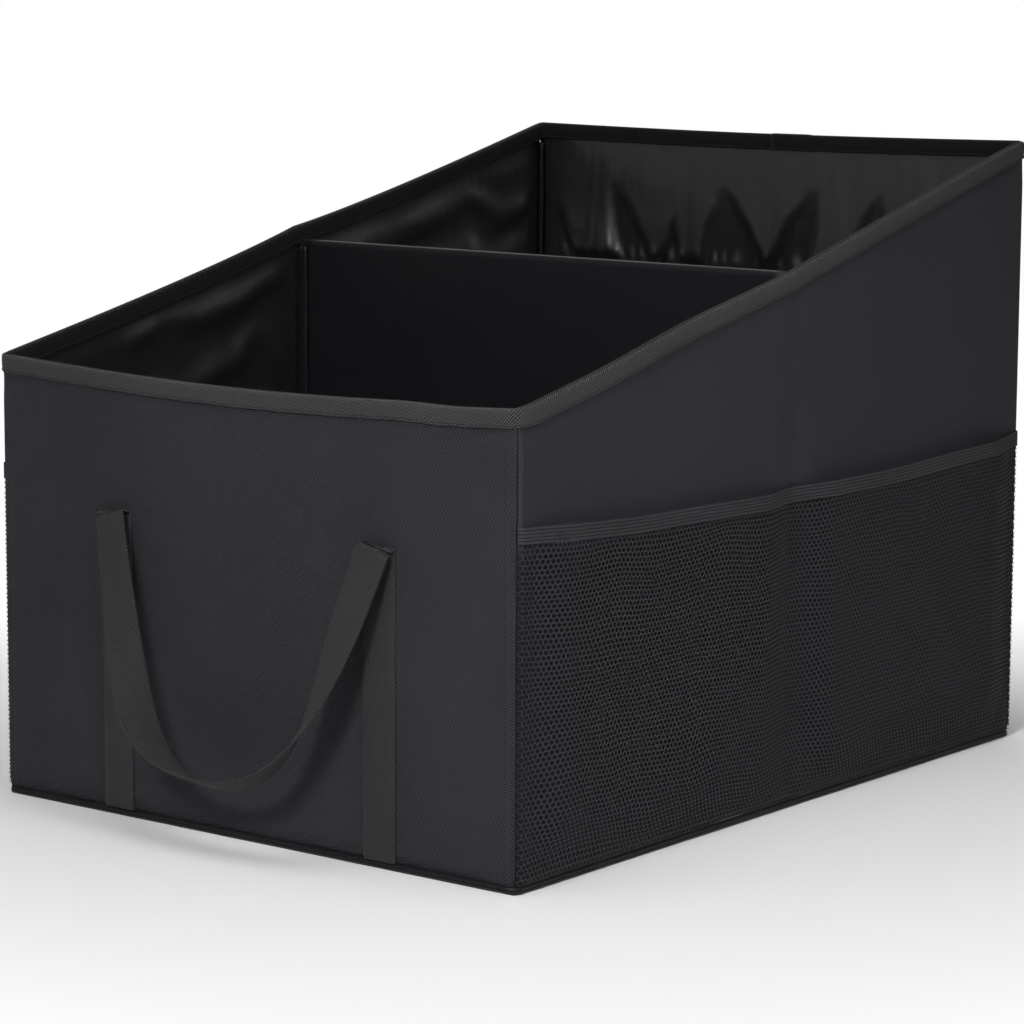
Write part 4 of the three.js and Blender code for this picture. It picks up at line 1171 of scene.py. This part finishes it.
# %% Camera
AZIMUTH, ELEVATION, ROLL = math.radians(37.98), math.radians(8.74), math.radians(0.27)
level = math.cos(ELEVATION)
backward = Vector((math.sin(AZIMUTH) * level, -math.cos(AZIMUTH) * level, math.sin(ELEVATION)))
right = (-backward).cross(Vector((0, 0, 1))).normalized()
up = right.cross(-backward).normalized()
rolled_right = right * math.cos(ROLL) + up * math.sin(ROLL)
rolled_up = up * math.cos(ROLL) - right * math.sin(ROLL)
eye = bpy.data.cameras.new("Camera")
eye.lens, eye.sensor_width, eye.sensor_fit = 125.0, 36.0, "HORIZONTAL"
eye.clip_end = 500
camera = bpy.data.objects.new("Camera", eye)
bpy.context.collection.objects.link(camera)
turned = Matrix((rolled_right, rolled_up, backward)).transposed().to_4x4()
camera.matrix_world = Matrix.Translation((1.4758, -1.9095, 0.5470)) @ turned
bpy.context.scene.camera = camera
print("camera at", tuple(round(c, 3) for c in camera.location))

# %% Lights


def area_light(name, place, target, size, power, spread=180):
    lamp = bpy.data.lights.new(name, "AREA")
    lamp.shape, lamp.size, lamp.size_y, lamp.energy = "RECTANGLE", size[0], size[1], power
    lamp.spread = math.radians(spread)
    holder = bpy.data.objects.new(name, lamp)
    bpy.context.collection.objects.link(holder)
    toward = Vector(target) - Vector(place)
    facing = toward.to_track_quat("-Z", "Y").to_matrix().to_4x4()
    holder.matrix_world = Matrix.Translation(place) @ facing


area_light("Key light", (0.7, -2.3, 1.7), (0.24, -0.289, 0.30), (0.6, 0.6), 2.1, 34)
area_light("Fill light", (2.4, -0.6, 1.1), (0.215, -0.34, 0.30), (0.6, 0.6), 0.62, 34)
area_light("Top light", (0.2, -0.5, 2.6), (0, 0.1, 0.2), (1.4, 1.4), 18)
area_light("Back light", (-1.9, 2.3, 1.7), (0, 0, 0.2), (1.4, 1.4), 14)

world = bpy.data.worlds.new("Studio")
world.use_nodes = True
bpy.context.scene.world = world
sky = world.node_tree
sky_light = sky.nodes["Background"]
set_inputs(sky, sky_light, Color=(1, 1, 1, 1), Strength=0.21)
white = add_node(sky, "ShaderNodeBackground", Color=(1, 1, 1, 1), Strength=1.0)
seen_by_camera(sky, sky_light, white, "World Output")
print("lights placed")

# %% Floor
bpy.ops.object.select_all(action="DESELECT")
bpy.ops.mesh.primitive_circle_add(vertices=96, radius=60, fill_type="NGON", location=(0, 0, 0))
ground = bpy.context.object
ground.name = "Studio_floor"
pale = bpy.data.materials.new("Pale floor")
pale.use_nodes = True
pale_tree = pale.node_tree
pale_shader = pale_tree.nodes["Principled BSDF"]
set_inputs(pale_tree, pale_shader, Base_Color=(0.9, 0.9, 0.9, 1), Roughness=0.9)
glow = add_node(pale_tree, "ShaderNodeEmission", Strength=1.0)
where = pale_tree.nodes.new("ShaderNodeTexCoord")
far = pale_tree.nodes.new("ShaderNodeVectorMath")
far.operation = "LENGTH"
pale_tree.links.new(where.outputs["Object"], far.inputs[0])
beyond = maths(pale_tree, "SUBTRACT", far.outputs["Value"], 0.34)
away = maths(pale_tree, "MULTIPLY", beyond, 2.8, clamp=True)
seen_by_camera(pale_tree, pale_shader, glow, "Material Output", away)
ground.data.materials.append(pale)
bpy.context.scene.view_settings.view_transform = "Standard"
print("floor laid")
